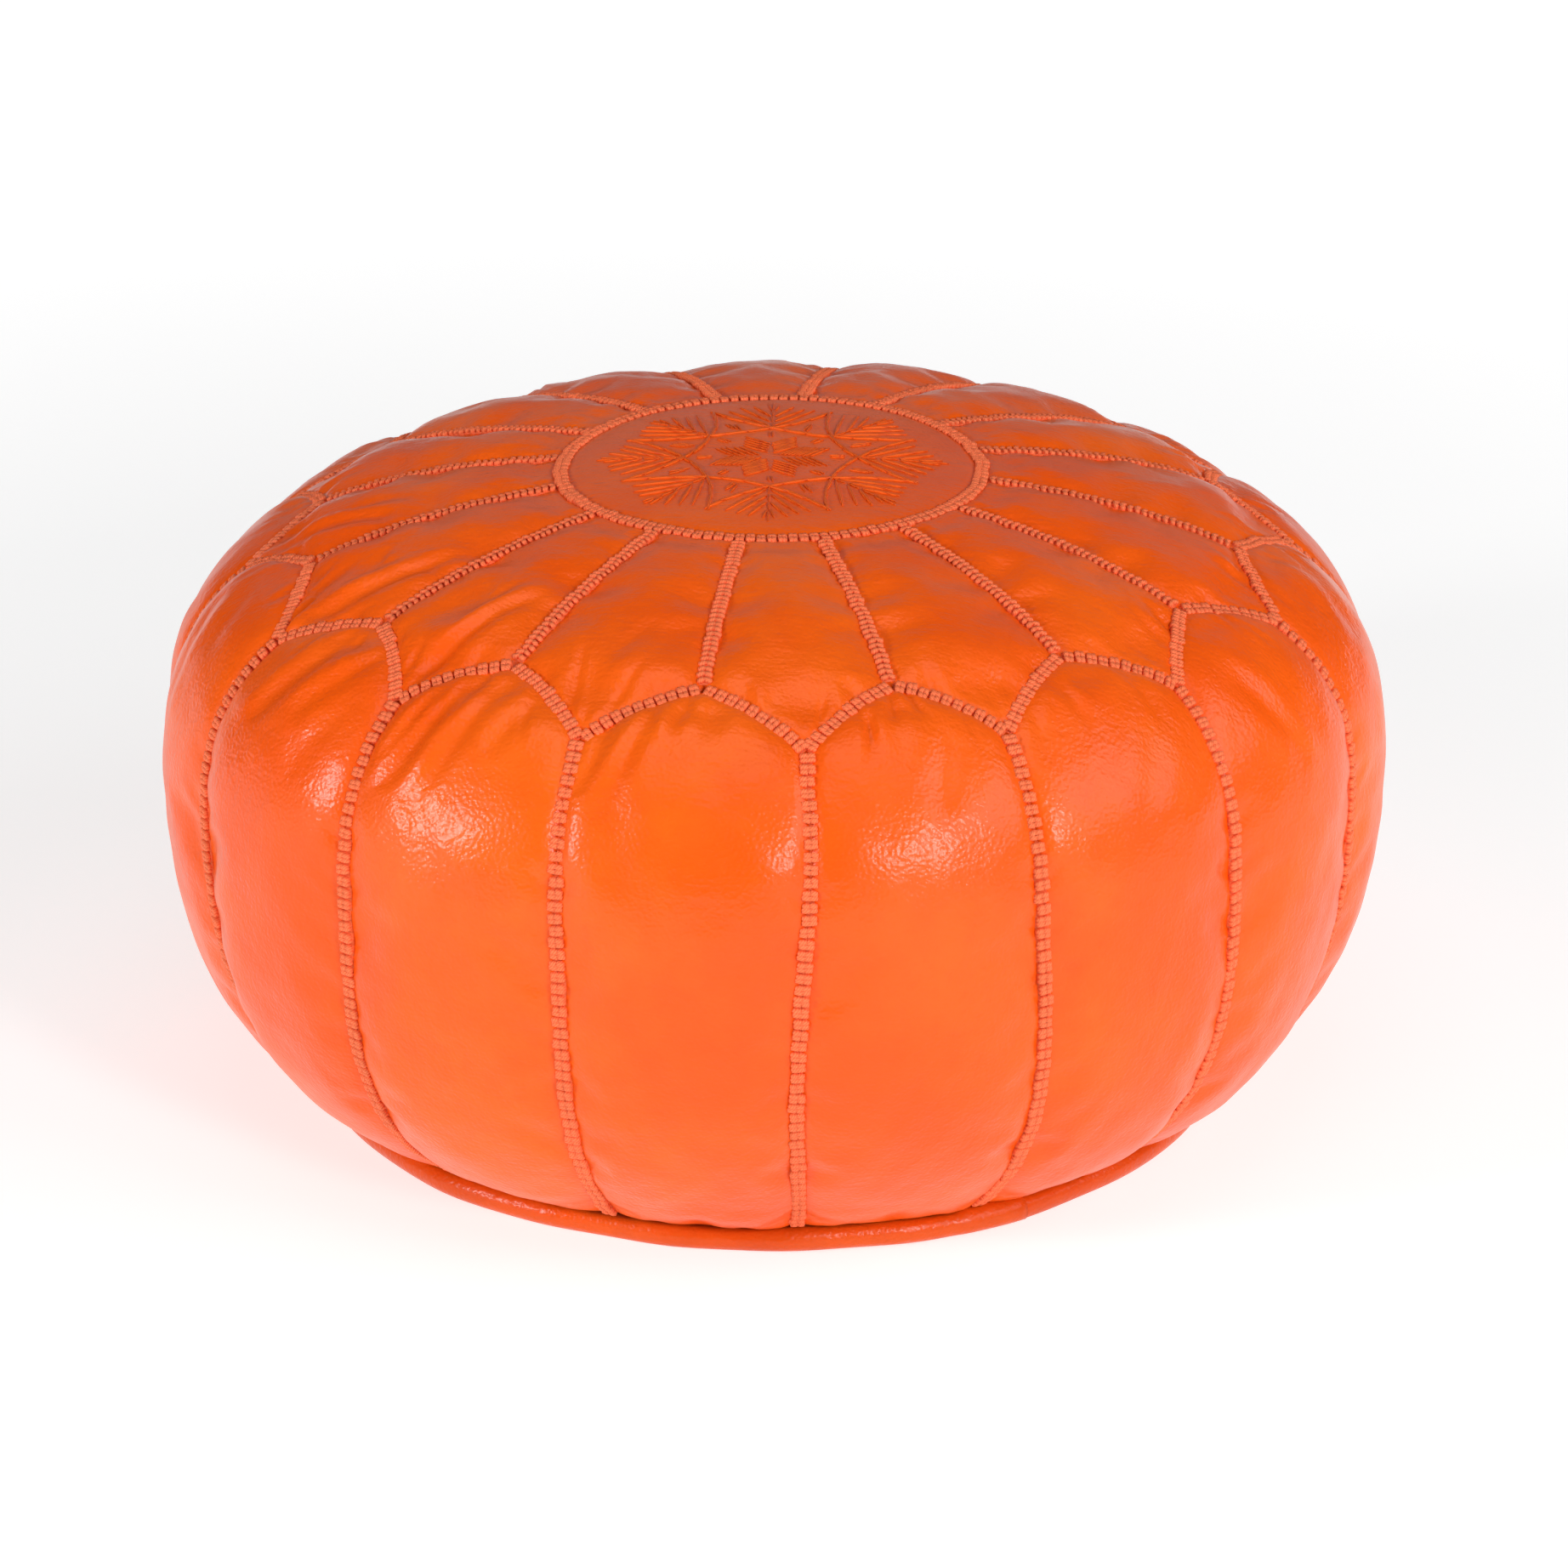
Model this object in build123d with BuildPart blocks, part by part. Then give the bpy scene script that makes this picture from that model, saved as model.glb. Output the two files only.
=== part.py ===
"""Round leather pouf: sixteen top petals and sixteen side panels sewn round an embroidered medallion.

The leather skin is one smooth body of revolution, split along its seams into separate panels.
Braids lie on the seams, a piping ring closes the foot, and a zip in the base lets the filling in.
The origin is the middle of the foot, +Z is up, and a petal seam faces -Y. Sizes are in millimetres.
"""

import os
from math import atan2, cos, degrees, hypot, radians, sin

from build123d import *

os.makedirs("parts", exist_ok=True)

# Body of revolution: one superellipse above the waist and a deeper one below it
WAIST_RADIUS = 260.0
WAIST_HEIGHT = 156.0
CROWN_RISE = 123.5
LOWER_REACH = 190.8  # the lower curve would close this far below the waist, but the foot cuts it
FULLNESS = 2.62  # superellipse exponent: 2 is an ellipse, more is squarer
FOOT_HEIGHT = 10.0  # where the side panels end, on the piping
CROWN_STEP = 11.25  # degrees of the curve's own angle between two points of its spline
LOWER_STEPS = 4

# Leather and seams
PANELS = 16
PITCH = 360.0 / PANELS
LEATHER = 1.6
LAYER_GAP = 0.1  # between the leather and what lies on it or fills it
SEAM_GAP = 0.4
MEDALLION_RADIUS = 89.5
ARCH_PEAK_RADIUS = 198.5  # a side panel's arch meets a petal seam here
ARCH_FOOT_RADIUS = 225.5  # two arches meet here, where a side seam starts
ARCH_BULGE = 1.5
BRAID_WIDTH = 7.0
BRAID_HEIGHT = 2.2
JOIN_GAP = 0.3  # between two braids that end at the same seam
SIDE_BRAID_TOP = 226.5  # just below the feet of the arches
THREAD_HEIGHT = 0.8

# Embroidered star
STAR_TIP_RADIUS = 64.0
STAR_WAIST_RADIUS = 40.0
STAR_BAND = 3.0
STAR_POINTS = 8
SPRIG_START = 50.0
SPRIG_END = 74.0
SPRIG_WIDTH = 9.0

# Piping ring round the foot
PIPING_RING_RADIUS = 196.5
PIPING_RADIUS = 5.5
PIPING_LEATHER = 1.1
FLANGE_INNER_RADIUS = 181.0
FLANGE_BOTTOM = 8.0
FLANGE_THICKNESS = 1.2

# Base: two leather halves that rise into a shallow trough for the zip
BASE_RADIUS = 190.6
BASE_LEATHER = 2.5
TROUGH_HEIGHT = 5.0
TROUGH_INNER = 22.0
TROUGH_OUTER = 36.0
TROUGH_SHIFT = 1.0  # of the slope's upper side, which keeps the leather's thickness
SLOT_HALF_WIDTH = 8.0
SLOT_HALF_LENGTH = 148.0

# Zip
TAPE_THICKNESS = 0.8
TAPE_EDGE = 1.9
TAPE_WIDTH = 17.0
TAPE_HALF_LENGTH = 156.0
TOOTH_PITCH = 4.0
TEETH = 68
TOOTH_STEM = 1.4
TOOTH_HEAD_RADIUS = 0.95
TOOTH_HEAD_OFFSET = 0.4
TOOTH_ROOT = 4.2
TOOTH_HEIGHT = 2.2
FIRST_TOOTH = -136.0
STOP_LENGTH = 2.5
STOP_CORNER = 0.6
STOP_CLEARANCE = 0.15  # between a top stop and the slider's wedge
TOP_STOP_X = 136.8
BOTTOM_STOP_X = -139.8
SLIDER_X = 132.0
SLIDER_HALF_LENGTH = 7.0
SLIDER_REAR_HALF = 5.4
SLIDER_FRONT_HALF = 6.5
SLIDER_CORNER = 1.6
CHANNEL_HALF = 4.5
CHANNEL_PLAY = 0.4
WING = 1.0
LIP = 0.8
WEDGE_START = 2.2
WEDGE_LENGTH = 4.4
WEDGE_SHOULDER = 3.1  # from the wedge's tip to where it is widest
WEDGE_HALF = 1.3
PIN_RADIUS = 0.7
PIN_PLAY = 0.05
EYE_RADIUS = 1.3
PIN_DROP = 1.4  # from the underside of the slider to the pin's axis
EAR_INNER = 1.9
EAR_THICKNESS = 1.0
EAR_HALF_LENGTH = 1.6
EAR_CORNER = 0.7
EAR_DROP = 2.4  # from the underside of the slider to the ears' ends
PULL_THICKNESS = 1.3
PULL_NECK = 3.4
PULL_WIDTH = 8.0
PULL_NECK_LENGTH = 7.0
PULL_LENGTH = 34.0
PULL_SLOT_LENGTH = 9.0
PULL_SLOT_WIDTH = 3.0
PULL_CORNER = 2.8
PULL_OVERLAP = 2.0  # of the tab over the end of its neck

# Heights that follow from the sizes above
BASE_TOP = TROUGH_HEIGHT + BASE_LEATHER
TAPE_MIDDLE = BASE_TOP + TAPE_THICKNESS / 2
TOOTH_BOTTOM = TAPE_MIDDLE - TOOTH_HEIGHT / 2
TOOTH_TOP = TAPE_MIDDLE + TOOTH_HEIGHT / 2
SLIDER_BOTTOM = TOOTH_BOTTOM - CHANNEL_PLAY - WING
SLIDER_TOP = TOOTH_TOP + CHANNEL_PLAY + WING
PIN_Z = SLIDER_BOTTOM - PIN_DROP
CUT_HEIGHT = 200.0  # tall enough for a cutting prism to pass the crown


def meridian_point(turn, outwards):
    """Point of the section curve at an angle of the superellipse, moved outwards along its normal."""
    reach = CROWN_RISE if turn >= 0 else LOWER_REACH
    power = 2 / FULLNESS
    radius = WAIST_RADIUS * max(cos(radians(turn)), 0.0) ** power
    rise = reach * abs(sin(radians(turn))) ** power
    slope_r = (radius / WAIST_RADIUS) ** (FULLNESS - 1) / WAIST_RADIUS
    slope_z = (rise / reach) ** (FULLNESS - 1) / reach
    size = hypot(slope_r, slope_z)
    side = 1 if turn >= 0 else -1
    return (
        radius + outwards * slope_r / size,
        WAIST_HEIGHT + side * (rise + outwards * slope_z / size),
    )


def foot_turn():
    """Angle of the superellipse at which the side panels reach the foot."""
    share = (WAIST_HEIGHT - FOOT_HEIGHT) / LOWER_REACH
    height = share ** (FULLNESS / 2)
    return -degrees(atan2(height, (1 - height**2) ** 0.5))


def meridian(outwards):
    """Points of the whole section curve, from the axis at the crown down to the foot."""
    crown = [90 - CROWN_STEP * i for i in range(round(90 / CROWN_STEP) + 1)]
    lower = [foot_turn() * (i + 1) / LOWER_STEPS for i in range(LOWER_STEPS)]
    points = [meridian_point(turn, outwards) for turn in crown + lower]
    points[0] = (0.0, points[0][1])
    return points


def layer_section(inner, outer, start_angle):
    """Section of the shell between two offsets of the body, in the upright plane at an angle."""
    across = (cos(radians(start_angle)), sin(radians(start_angle)), 0)
    plane = Plane(origin=(0, 0, 0), x_dir=across, z_dir=(across[1], -across[0], 0))
    with BuildSketch(plane) as section:
        with BuildLine():
            outside = Spline(*meridian(outer))
            inside = Spline(*meridian(inner))
            Line(outside @ 0, inside @ 0)
            Line(outside @ 1, inside @ 1)
        make_face()
    return section.sketch


def arch_circle():
    """Centre and radius, in plan, of the arc from an arch's peak on +X to its foot at half a pitch."""
    peak = Vector(ARCH_PEAK_RADIUS, 0)
    foot = Vector(ARCH_FOOT_RADIUS, 0).rotate(Axis.Z, PITCH / 2)
    chord = foot - peak
    outwards = Vector(chord.Y, -chord.X).normalized()
    radius = (chord.length / 2) ** 2 / (2 * ARCH_BULGE) + ARCH_BULGE / 2
    middle = peak + chord / 2
    return middle + outwards * (radius - ARCH_BULGE), radius


def arch_arc(side, gap):
    """Arc of one half of the arch over the side panel on +X, moved outwards in plan by a gap."""
    centre, radius = arch_circle()
    radius -= gap
    peak = Vector(centre.X - (radius**2 - centre.Y**2) ** 0.5, 0)
    ray = Vector(1, 0).rotate(Axis.Z, PITCH / 2)
    along = ray.dot(centre)
    foot = ray * (along - (along**2 - centre.length**2 + radius**2) ** 0.5)
    middle = centre + ((peak + foot) / 2 - centre).normalized() * radius
    return ThreePointArc(
        (peak.X, 0), (middle.X, side * middle.Y), (foot.X, side * foot.Y)
    )


def arch_fill(gap):
    """Plan of everything inside the two arch halves on +X, from the axis outwards."""
    with BuildSketch(Plane.XY.offset(WAIST_HEIGHT)) as plan:
        with BuildLine():
            left = arch_arc(1, gap)
            right = arch_arc(-1, gap)
            Line((0, 0), left @ 1)
            Line((0, 0), right @ 1)
        make_face()
    return plan.sketch


def revolve_sector(inner, outer):
    """Adds one pitch of a shell, centred on +X, to the current part, with half a seam gap on each side."""
    revolve(
        layer_section(inner, outer, -PITCH / 2),
        axis=Axis.Z,
        revolution_arc=PITCH,
    )
    for side in (1, -1):
        edge = Vector(1, 0).rotate(Axis.Z, side * PITCH / 2)
        away = Vector(0, side).rotate(Axis.Z, side * PITCH / 2)
        cut = Plane(origin=(0, 0, 0), x_dir=edge, z_dir=away)
        split(bisect_by=cut.offset(-SEAM_GAP / 2), keep=Keep.BOTTOM)


def place_round(shape, name, angle):
    """Writes one copy of a repeated sub-part, turned about +Z to its own place."""
    with BuildPart() as copy:
        add(shape, rotation=(0, 0, angle))
    copy.part.label = name
    export_step(copy.part, f"parts/{name}.step")


def place_group(shape, name, start):
    """Writes a repeated sub-part as one node of separate solids, one for each pitch."""
    with BuildPart() as group:
        with PolarLocations(0, PANELS, start_angle=start):
            add(shape)
    group.part.label = name
    export_step(group.part, f"parts/{name}.step")


PETAL_SEAM_START = -90.0  # a petal seam faces -Y
SIDE_SEAM_START = PETAL_SEAM_START + PITCH / 2

# Medallion: the round piece in the middle of the top
with BuildPart() as medallion:
    revolve(layer_section(-LEATHER, 0, 180), axis=Axis.Z)
    with BuildSketch(Plane.XY.offset(WAIST_HEIGHT)):
        Circle(MEDALLION_RADIUS - SEAM_GAP / 2)
    extrude(amount=CUT_HEIGHT, mode=Mode.INTERSECT)
medallion.part.label = "medallion"
export_step(medallion.part, "parts/medallion.step")

# Side panel: an upright gore with an arched top, symmetrical about +X
with BuildPart() as side_panel:
    revolve_sector(-LEATHER, 0)
    with BuildSketch(Plane.XY.offset(WAIST_HEIGHT)):
        add(arch_fill(SEAM_GAP / 2))
    extrude(amount=CUT_HEIGHT, mode=Mode.SUBTRACT)

# Petal: reaches from the medallion to the arches, and ends in a point between two of them
with BuildPart() as petal:
    revolve_sector(-LEATHER, 0)
    with BuildSketch(Plane.XY.offset(WAIST_HEIGHT)):
        for half in (1, -1):
            add(arch_fill(-SEAM_GAP / 2), rotation=half * PITCH / 2)
        Circle(MEDALLION_RADIUS + SEAM_GAP / 2, mode=Mode.SUBTRACT)
    extrude(amount=CUT_HEIGHT, mode=Mode.INTERSECT)

for number in range(PANELS):
    place_round(
        side_panel.part,
        f"side_panel_{number + 1:02d}",
        PETAL_SEAM_START + number * PITCH,
    )
    place_round(
        petal.part,
        f"top_petal_{number + 1:02d}",
        SIDE_SEAM_START + number * PITCH,
    )

# Braid round the medallion
with BuildPart() as medallion_braid:
    revolve(layer_section(LAYER_GAP, BRAID_HEIGHT, 180), axis=Axis.Z)
    with BuildSketch(Plane.XY.offset(WAIST_HEIGHT)):
        Circle(MEDALLION_RADIUS + BRAID_WIDTH / 2)
        Circle(MEDALLION_RADIUS - BRAID_WIDTH / 2, mode=Mode.SUBTRACT)
    extrude(amount=CUT_HEIGHT, mode=Mode.INTERSECT)
medallion_braid.part.label = "medallion_braid"
export_step(medallion_braid.part, "parts/medallion_braid.step")

# Braid on a petal seam, from the medallion's braid to the arch's
PETAL_BRAID_START = MEDALLION_RADIUS + BRAID_WIDTH / 2 + JOIN_GAP
PETAL_BRAID_END = ARCH_PEAK_RADIUS - BRAID_WIDTH / 2 - JOIN_GAP
with BuildPart() as petal_braid:
    revolve_sector(LAYER_GAP, BRAID_HEIGHT)
    with BuildSketch(Plane.XY.offset(WAIST_HEIGHT)):
        with Locations(((PETAL_BRAID_START + PETAL_BRAID_END) / 2, 0)):
            Rectangle(PETAL_BRAID_END - PETAL_BRAID_START, BRAID_WIDTH)
        Circle(PETAL_BRAID_START, mode=Mode.SUBTRACT)
    extrude(amount=CUT_HEIGHT, mode=Mode.INTERSECT)
place_group(petal_braid.part, "petal_seam_braids", PETAL_SEAM_START)

# Braid over one side panel's arch: both halves, mitred where two arches meet
with BuildPart() as arch_braid:
    revolve_sector(LAYER_GAP, BRAID_HEIGHT)
    with BuildSketch(Plane.XY.offset(WAIST_HEIGHT)):
        add(arch_fill(BRAID_WIDTH / 2))
        add(arch_fill(-BRAID_WIDTH / 2), mode=Mode.SUBTRACT)
    extrude(amount=CUT_HEIGHT, mode=Mode.INTERSECT)
place_group(arch_braid.part, "arch_seam_braids", PETAL_SEAM_START)

# Braid on a side seam, from the foot of two arches down to the piping
with BuildPart() as side_braid:
    revolve_sector(LAYER_GAP, BRAID_HEIGHT)
    with BuildSketch(Plane.XY):
        with Locations((WAIST_RADIUS, 0)):
            Rectangle(WAIST_RADIUS, BRAID_WIDTH)
    extrude(amount=SIDE_BRAID_TOP, mode=Mode.INTERSECT)
place_group(side_braid.part, "side_seam_braids", SIDE_SEAM_START)

# Embroidery: an eight-pointed star band with a sprig beyond each inner corner
with BuildPart() as embroidery:
    revolve(layer_section(LAYER_GAP, THREAD_HEIGHT, 180), axis=Axis.Z)
    with BuildSketch(Plane.XY.offset(WAIST_HEIGHT)):
        step = 360 / STAR_POINTS
        for outline, mode in (
            (STAR_BAND / 2, Mode.ADD),
            (-STAR_BAND / 2, Mode.SUBTRACT),
        ):
            tips = [
                Vector(STAR_TIP_RADIUS + 2 * outline, 0).rotate(Axis.Z, step * i)
                for i in range(STAR_POINTS)
            ]
            dips = [
                Vector(STAR_WAIST_RADIUS + outline, 0).rotate(Axis.Z, step * (i + 0.5))
                for i in range(STAR_POINTS)
            ]
            corners = [corner for pair in zip(tips, dips) for corner in pair]
            with BuildLine():
                Polyline(*[(c.X, c.Y) for c in corners], close=True)
            make_face(mode=mode)
        Circle(STAR_WAIST_RADIUS / 2)
        with PolarLocations((SPRIG_START + SPRIG_END) / 2, STAR_POINTS, start_angle=step / 2):
            Ellipse((SPRIG_END - SPRIG_START) / 2, SPRIG_WIDTH / 2)
    extrude(amount=CUT_HEIGHT, mode=Mode.INTERSECT)
embroidery.part.label = "medallion_embroidery"
export_step(embroidery.part, "parts/medallion_embroidery.step")

# Filling: wadding packed into the whole skin
with BuildPart() as filling:
    with BuildSketch(Plane.XZ):
        with BuildLine():
            skin = Spline(*meridian(-LEATHER - LAYER_GAP))
            Line(skin @ 1, (0, (skin @ 1).Y))
            Line((0, (skin @ 1).Y), skin @ 0)
        make_face()
    revolve(axis=Axis.Z)
filling.part.label = "filling"
export_step(filling.part, "parts/filling.step")

# Piping: a leather strip with a flange, wrapped round a cord
with BuildPart() as piping_cover:
    with BuildSketch(Plane.XZ):
        with Locations((PIPING_RING_RADIUS, PIPING_RADIUS)):
            Circle(PIPING_RADIUS)
        flange_outer = PIPING_RING_RADIUS - PIPING_RADIUS / 2
        with Locations(
            (
                (FLANGE_INNER_RADIUS + flange_outer) / 2,
                FLANGE_BOTTOM + FLANGE_THICKNESS / 2,
            )
        ):
            Rectangle(flange_outer - FLANGE_INNER_RADIUS, FLANGE_THICKNESS)
        with Locations((PIPING_RING_RADIUS, PIPING_RADIUS)):
            Circle(PIPING_RADIUS - PIPING_LEATHER, mode=Mode.SUBTRACT)
    revolve(axis=Axis.Z)
piping_cover.part.label = "piping_cover"
export_step(piping_cover.part, "parts/piping_cover.step")

with BuildPart() as piping_cord:
    with BuildSketch(Plane.XZ):
        with Locations((PIPING_RING_RADIUS, PIPING_RADIUS)):
            Circle(PIPING_RADIUS - PIPING_LEATHER)
    revolve(axis=Axis.Z)
piping_cord.part.label = "piping_cord"
export_step(piping_cord.part, "parts/piping_cord.step")


def base_half(side, name):
    """Half of the base on +Y or -Y, with the raised edge that the zip is sewn to."""
    with BuildPart() as half:
        with BuildSketch(Plane.YZ.offset(-BASE_RADIUS)):
            with BuildLine():
                Polyline(
                    (side * SEAM_GAP / 2, TROUGH_HEIGHT),
                    (side * TROUGH_INNER, TROUGH_HEIGHT),
                    (side * TROUGH_OUTER, 0),
                    (side * BASE_RADIUS, 0),
                    (side * BASE_RADIUS, BASE_LEATHER),
                    (side * (TROUGH_OUTER + TROUGH_SHIFT), BASE_LEATHER),
                    (side * (TROUGH_INNER + TROUGH_SHIFT), BASE_TOP),
                    (side * SEAM_GAP / 2, BASE_TOP),
                    close=True,
                )
            make_face()
        extrude(amount=2 * BASE_RADIUS)
        with BuildSketch(Plane.XY):
            Circle(BASE_RADIUS)
            SlotOverall(2 * SLOT_HALF_LENGTH, 2 * SLOT_HALF_WIDTH, mode=Mode.SUBTRACT)
        extrude(amount=BASE_TOP, mode=Mode.INTERSECT)
    half.part.label = name
    export_step(half.part, f"parts/{name}.step")


base_half(-1, "base_panel_front")
base_half(1, "base_panel_back")


def tape_block():
    """Plan and thickness of both zip tapes, as the shapes that the teeth are clamped on."""
    with BuildPart() as tapes:
        for side in (-1, 1):
            with BuildSketch(Plane.XY.offset(BASE_TOP)):
                with Locations((0, side * (TAPE_EDGE + TAPE_WIDTH / 2))):
                    Rectangle(2 * TAPE_HALF_LENGTH, TAPE_WIDTH)
            extrude(amount=TAPE_THICKNESS)
    return tapes.part


def zip_tape(side, name):
    """Woven tape on one side of the zip, sewn on top of the base leather."""
    with BuildPart() as tape:
        with BuildSketch(Plane.XY.offset(BASE_TOP)):
            with Locations((0, side * (TAPE_EDGE + TAPE_WIDTH / 2))):
                Rectangle(2 * TAPE_HALF_LENGTH, TAPE_WIDTH)
        extrude(amount=TAPE_THICKNESS)
    tape.part.label = name
    export_step(tape.part, f"parts/{name}.step")


def zip_teeth(side, name, first, count):
    """Row of teeth clamped on one tape, each with a round head that locks between its neighbours."""
    spots = [(first + TOOTH_PITCH * i, 0) for i in range(count)]
    with BuildPart() as teeth:
        with BuildSketch(Plane.XY.offset(TOOTH_BOTTOM)):
            with Locations(*spots):
                with Locations((0, -side * TOOTH_HEAD_OFFSET)):
                    Circle(TOOTH_HEAD_RADIUS)
                stem = TOOTH_ROOT + TOOTH_HEAD_OFFSET
                with Locations((0, side * (TOOTH_ROOT - stem / 2))):
                    Rectangle(TOOTH_STEM, stem)
        extrude(amount=TOOTH_HEIGHT)
        add(tape_block(), mode=Mode.SUBTRACT)
    teeth.part.label = name
    export_step(teeth.part, f"parts/{name}.step")


zip_tape(-1, "zip_tape_front")
zip_tape(1, "zip_tape_back")
zip_teeth(-1, "zip_teeth_front", FIRST_TOOTH + TOOTH_PITCH / 2, TEETH - 1)
zip_teeth(1, "zip_teeth_back", FIRST_TOOTH, TEETH)

# Stops: one on each tape where the zip closes, and one across both where it opens
STOP_INNER = WEDGE_HALF + STOP_CLEARANCE
with BuildPart() as top_stops:
    with BuildSketch(Plane.XY.offset(TOOTH_BOTTOM)):
        for side in (-1, 1):
            with Locations((TOP_STOP_X, side * (STOP_INNER + TOOTH_ROOT) / 2)):
                Rectangle(STOP_LENGTH, TOOTH_ROOT - STOP_INNER)
    extrude(amount=TOOTH_HEIGHT)
    add(tape_block(), mode=Mode.SUBTRACT)
top_stops.part.label = "zip_top_stops"
export_step(top_stops.part, "parts/zip_top_stops.step")

with BuildPart() as bottom_stop:
    with BuildSketch(Plane.XY.offset(TOOTH_BOTTOM)):
        with Locations((BOTTOM_STOP_X, 0)):
            RectangleRounded(STOP_LENGTH, 2 * TOOTH_ROOT, STOP_CORNER)
    extrude(amount=TOOTH_HEIGHT)
    add(tape_block(), mode=Mode.SUBTRACT)
bottom_stop.part.label = "zip_bottom_stop"
export_step(bottom_stop.part, "parts/zip_bottom_stop.step")


def slider_plan():
    """Plan of the slider's two wings, wider at the front where the tapes spread."""
    with BuildSketch() as plan:
        with BuildLine():
            Polyline(
                (SLIDER_X - SLIDER_HALF_LENGTH, SLIDER_REAR_HALF),
                (SLIDER_X + SLIDER_HALF_LENGTH, SLIDER_FRONT_HALF),
                (SLIDER_X + SLIDER_HALF_LENGTH, -SLIDER_FRONT_HALF),
                (SLIDER_X - SLIDER_HALF_LENGTH, -SLIDER_REAR_HALF),
                close=True,
            )
        make_face()
        fillet(plan.vertices(), radius=SLIDER_CORNER)
    return plan.sketch


def slider_lips(bottom):
    """The rims along both sides of a wing, which keep the teeth in the channel."""
    with BuildSketch(Plane.XY.offset(bottom)) as lips:
        add(slider_plan())
        with Locations((SLIDER_X, 0)):
            Rectangle(4 * SLIDER_HALF_LENGTH, 2 * CHANNEL_HALF, mode=Mode.SUBTRACT)
    return lips.sketch


# Slider: two wings with lips, the wedge that parts the teeth, and the ears of the pull
with BuildPart() as slider:
    for bottom in (SLIDER_BOTTOM, SLIDER_TOP - WING):
        with BuildSketch(Plane.XY.offset(bottom)):
            add(slider_plan())
        extrude(amount=WING)
    extrude(slider_lips(SLIDER_BOTTOM + WING), amount=LIP)
    extrude(slider_lips(SLIDER_TOP - WING - LIP), amount=LIP)
    with BuildSketch(Plane.XY.offset(SLIDER_BOTTOM)):
        wedge_tip = SLIDER_X + WEDGE_START
        with BuildLine():
            Polyline(
                (wedge_tip, 0),
                (wedge_tip + WEDGE_SHOULDER, WEDGE_HALF),
                (wedge_tip + WEDGE_LENGTH, 0),
                (wedge_tip + WEDGE_SHOULDER, -WEDGE_HALF),
                close=True,
            )
        make_face()
    extrude(amount=SLIDER_TOP - SLIDER_BOTTOM)
    for side in (-1, 1):
        with BuildSketch(Plane.XZ.offset(side * (EAR_INNER + EAR_THICKNESS / 2))):
            with Locations((SLIDER_X, SLIDER_BOTTOM + (WING - EAR_DROP) / 2)):
                RectangleRounded(2 * EAR_HALF_LENGTH, EAR_DROP + WING, EAR_CORNER)
            with Locations((SLIDER_X, PIN_Z)):
                Circle(PIN_RADIUS, mode=Mode.SUBTRACT)
        extrude(amount=EAR_THICKNESS / 2, both=True)
slider.part.label = "zip_slider"
export_step(slider.part, "parts/zip_slider.step")

with BuildPart() as pull_pin:
    with BuildSketch(Plane.XZ):
        with Locations((SLIDER_X, PIN_Z)):
            Circle(PIN_RADIUS)
    extrude(amount=EAR_INNER + EAR_THICKNESS, both=True)
pull_pin.part.label = "zip_pull_pin"
export_step(pull_pin.part, "parts/zip_pull_pin.step")

# Pull: an eye round the pin, a narrow neck between the ears, and a slotted tab
with BuildPart() as pull:
    with BuildSketch(Plane.XY.offset(PIN_Z - PULL_THICKNESS / 2)):
        with Locations((SLIDER_X + PULL_NECK_LENGTH / 2, 0)):
            Rectangle(PULL_NECK_LENGTH, PULL_NECK)
        tab_length = PULL_LENGTH - PULL_NECK_LENGTH + PULL_OVERLAP
        with Locations((SLIDER_X + PULL_LENGTH - tab_length / 2, 0)):
            RectangleRounded(tab_length, PULL_WIDTH, PULL_CORNER)
        with Locations((SLIDER_X + PULL_LENGTH - PULL_SLOT_LENGTH, 0)):
            SlotOverall(PULL_SLOT_LENGTH, PULL_SLOT_WIDTH, mode=Mode.SUBTRACT)
    extrude(amount=PULL_THICKNESS)
    with BuildSketch(Plane.XZ):
        with Locations((SLIDER_X, PIN_Z)):
            Circle(EYE_RADIUS)
    extrude(amount=PULL_NECK / 2, both=True)
    with BuildSketch(Plane.XZ):
        with Locations((SLIDER_X, PIN_Z)):
            Circle(PIN_RADIUS + PIN_PLAY)
    extrude(amount=PULL_NECK, both=True, mode=Mode.SUBTRACT)
pull.part.label = "zip_pull"
export_step(pull.part, "parts/zip_pull.step")
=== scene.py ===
"""Looks of a round leather pouf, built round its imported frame.

The stuffed cover is one net of meridians and rows, swollen as cloth between its pinned seams and then cut
into its petals and side panels. Braids are stamped bead by bead along the seams, and the medallion is
embroidered stitch by stitch. Every length is in metres, +Z is up, and a petal seam faces -Y.
"""

import logging
import math
import random
from dataclasses import dataclass, field
from enum import Enum
from typing import Any, Iterable, Iterator

import bmesh
import bpy
import numpy as np
from mathutils import Matrix, Vector


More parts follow.
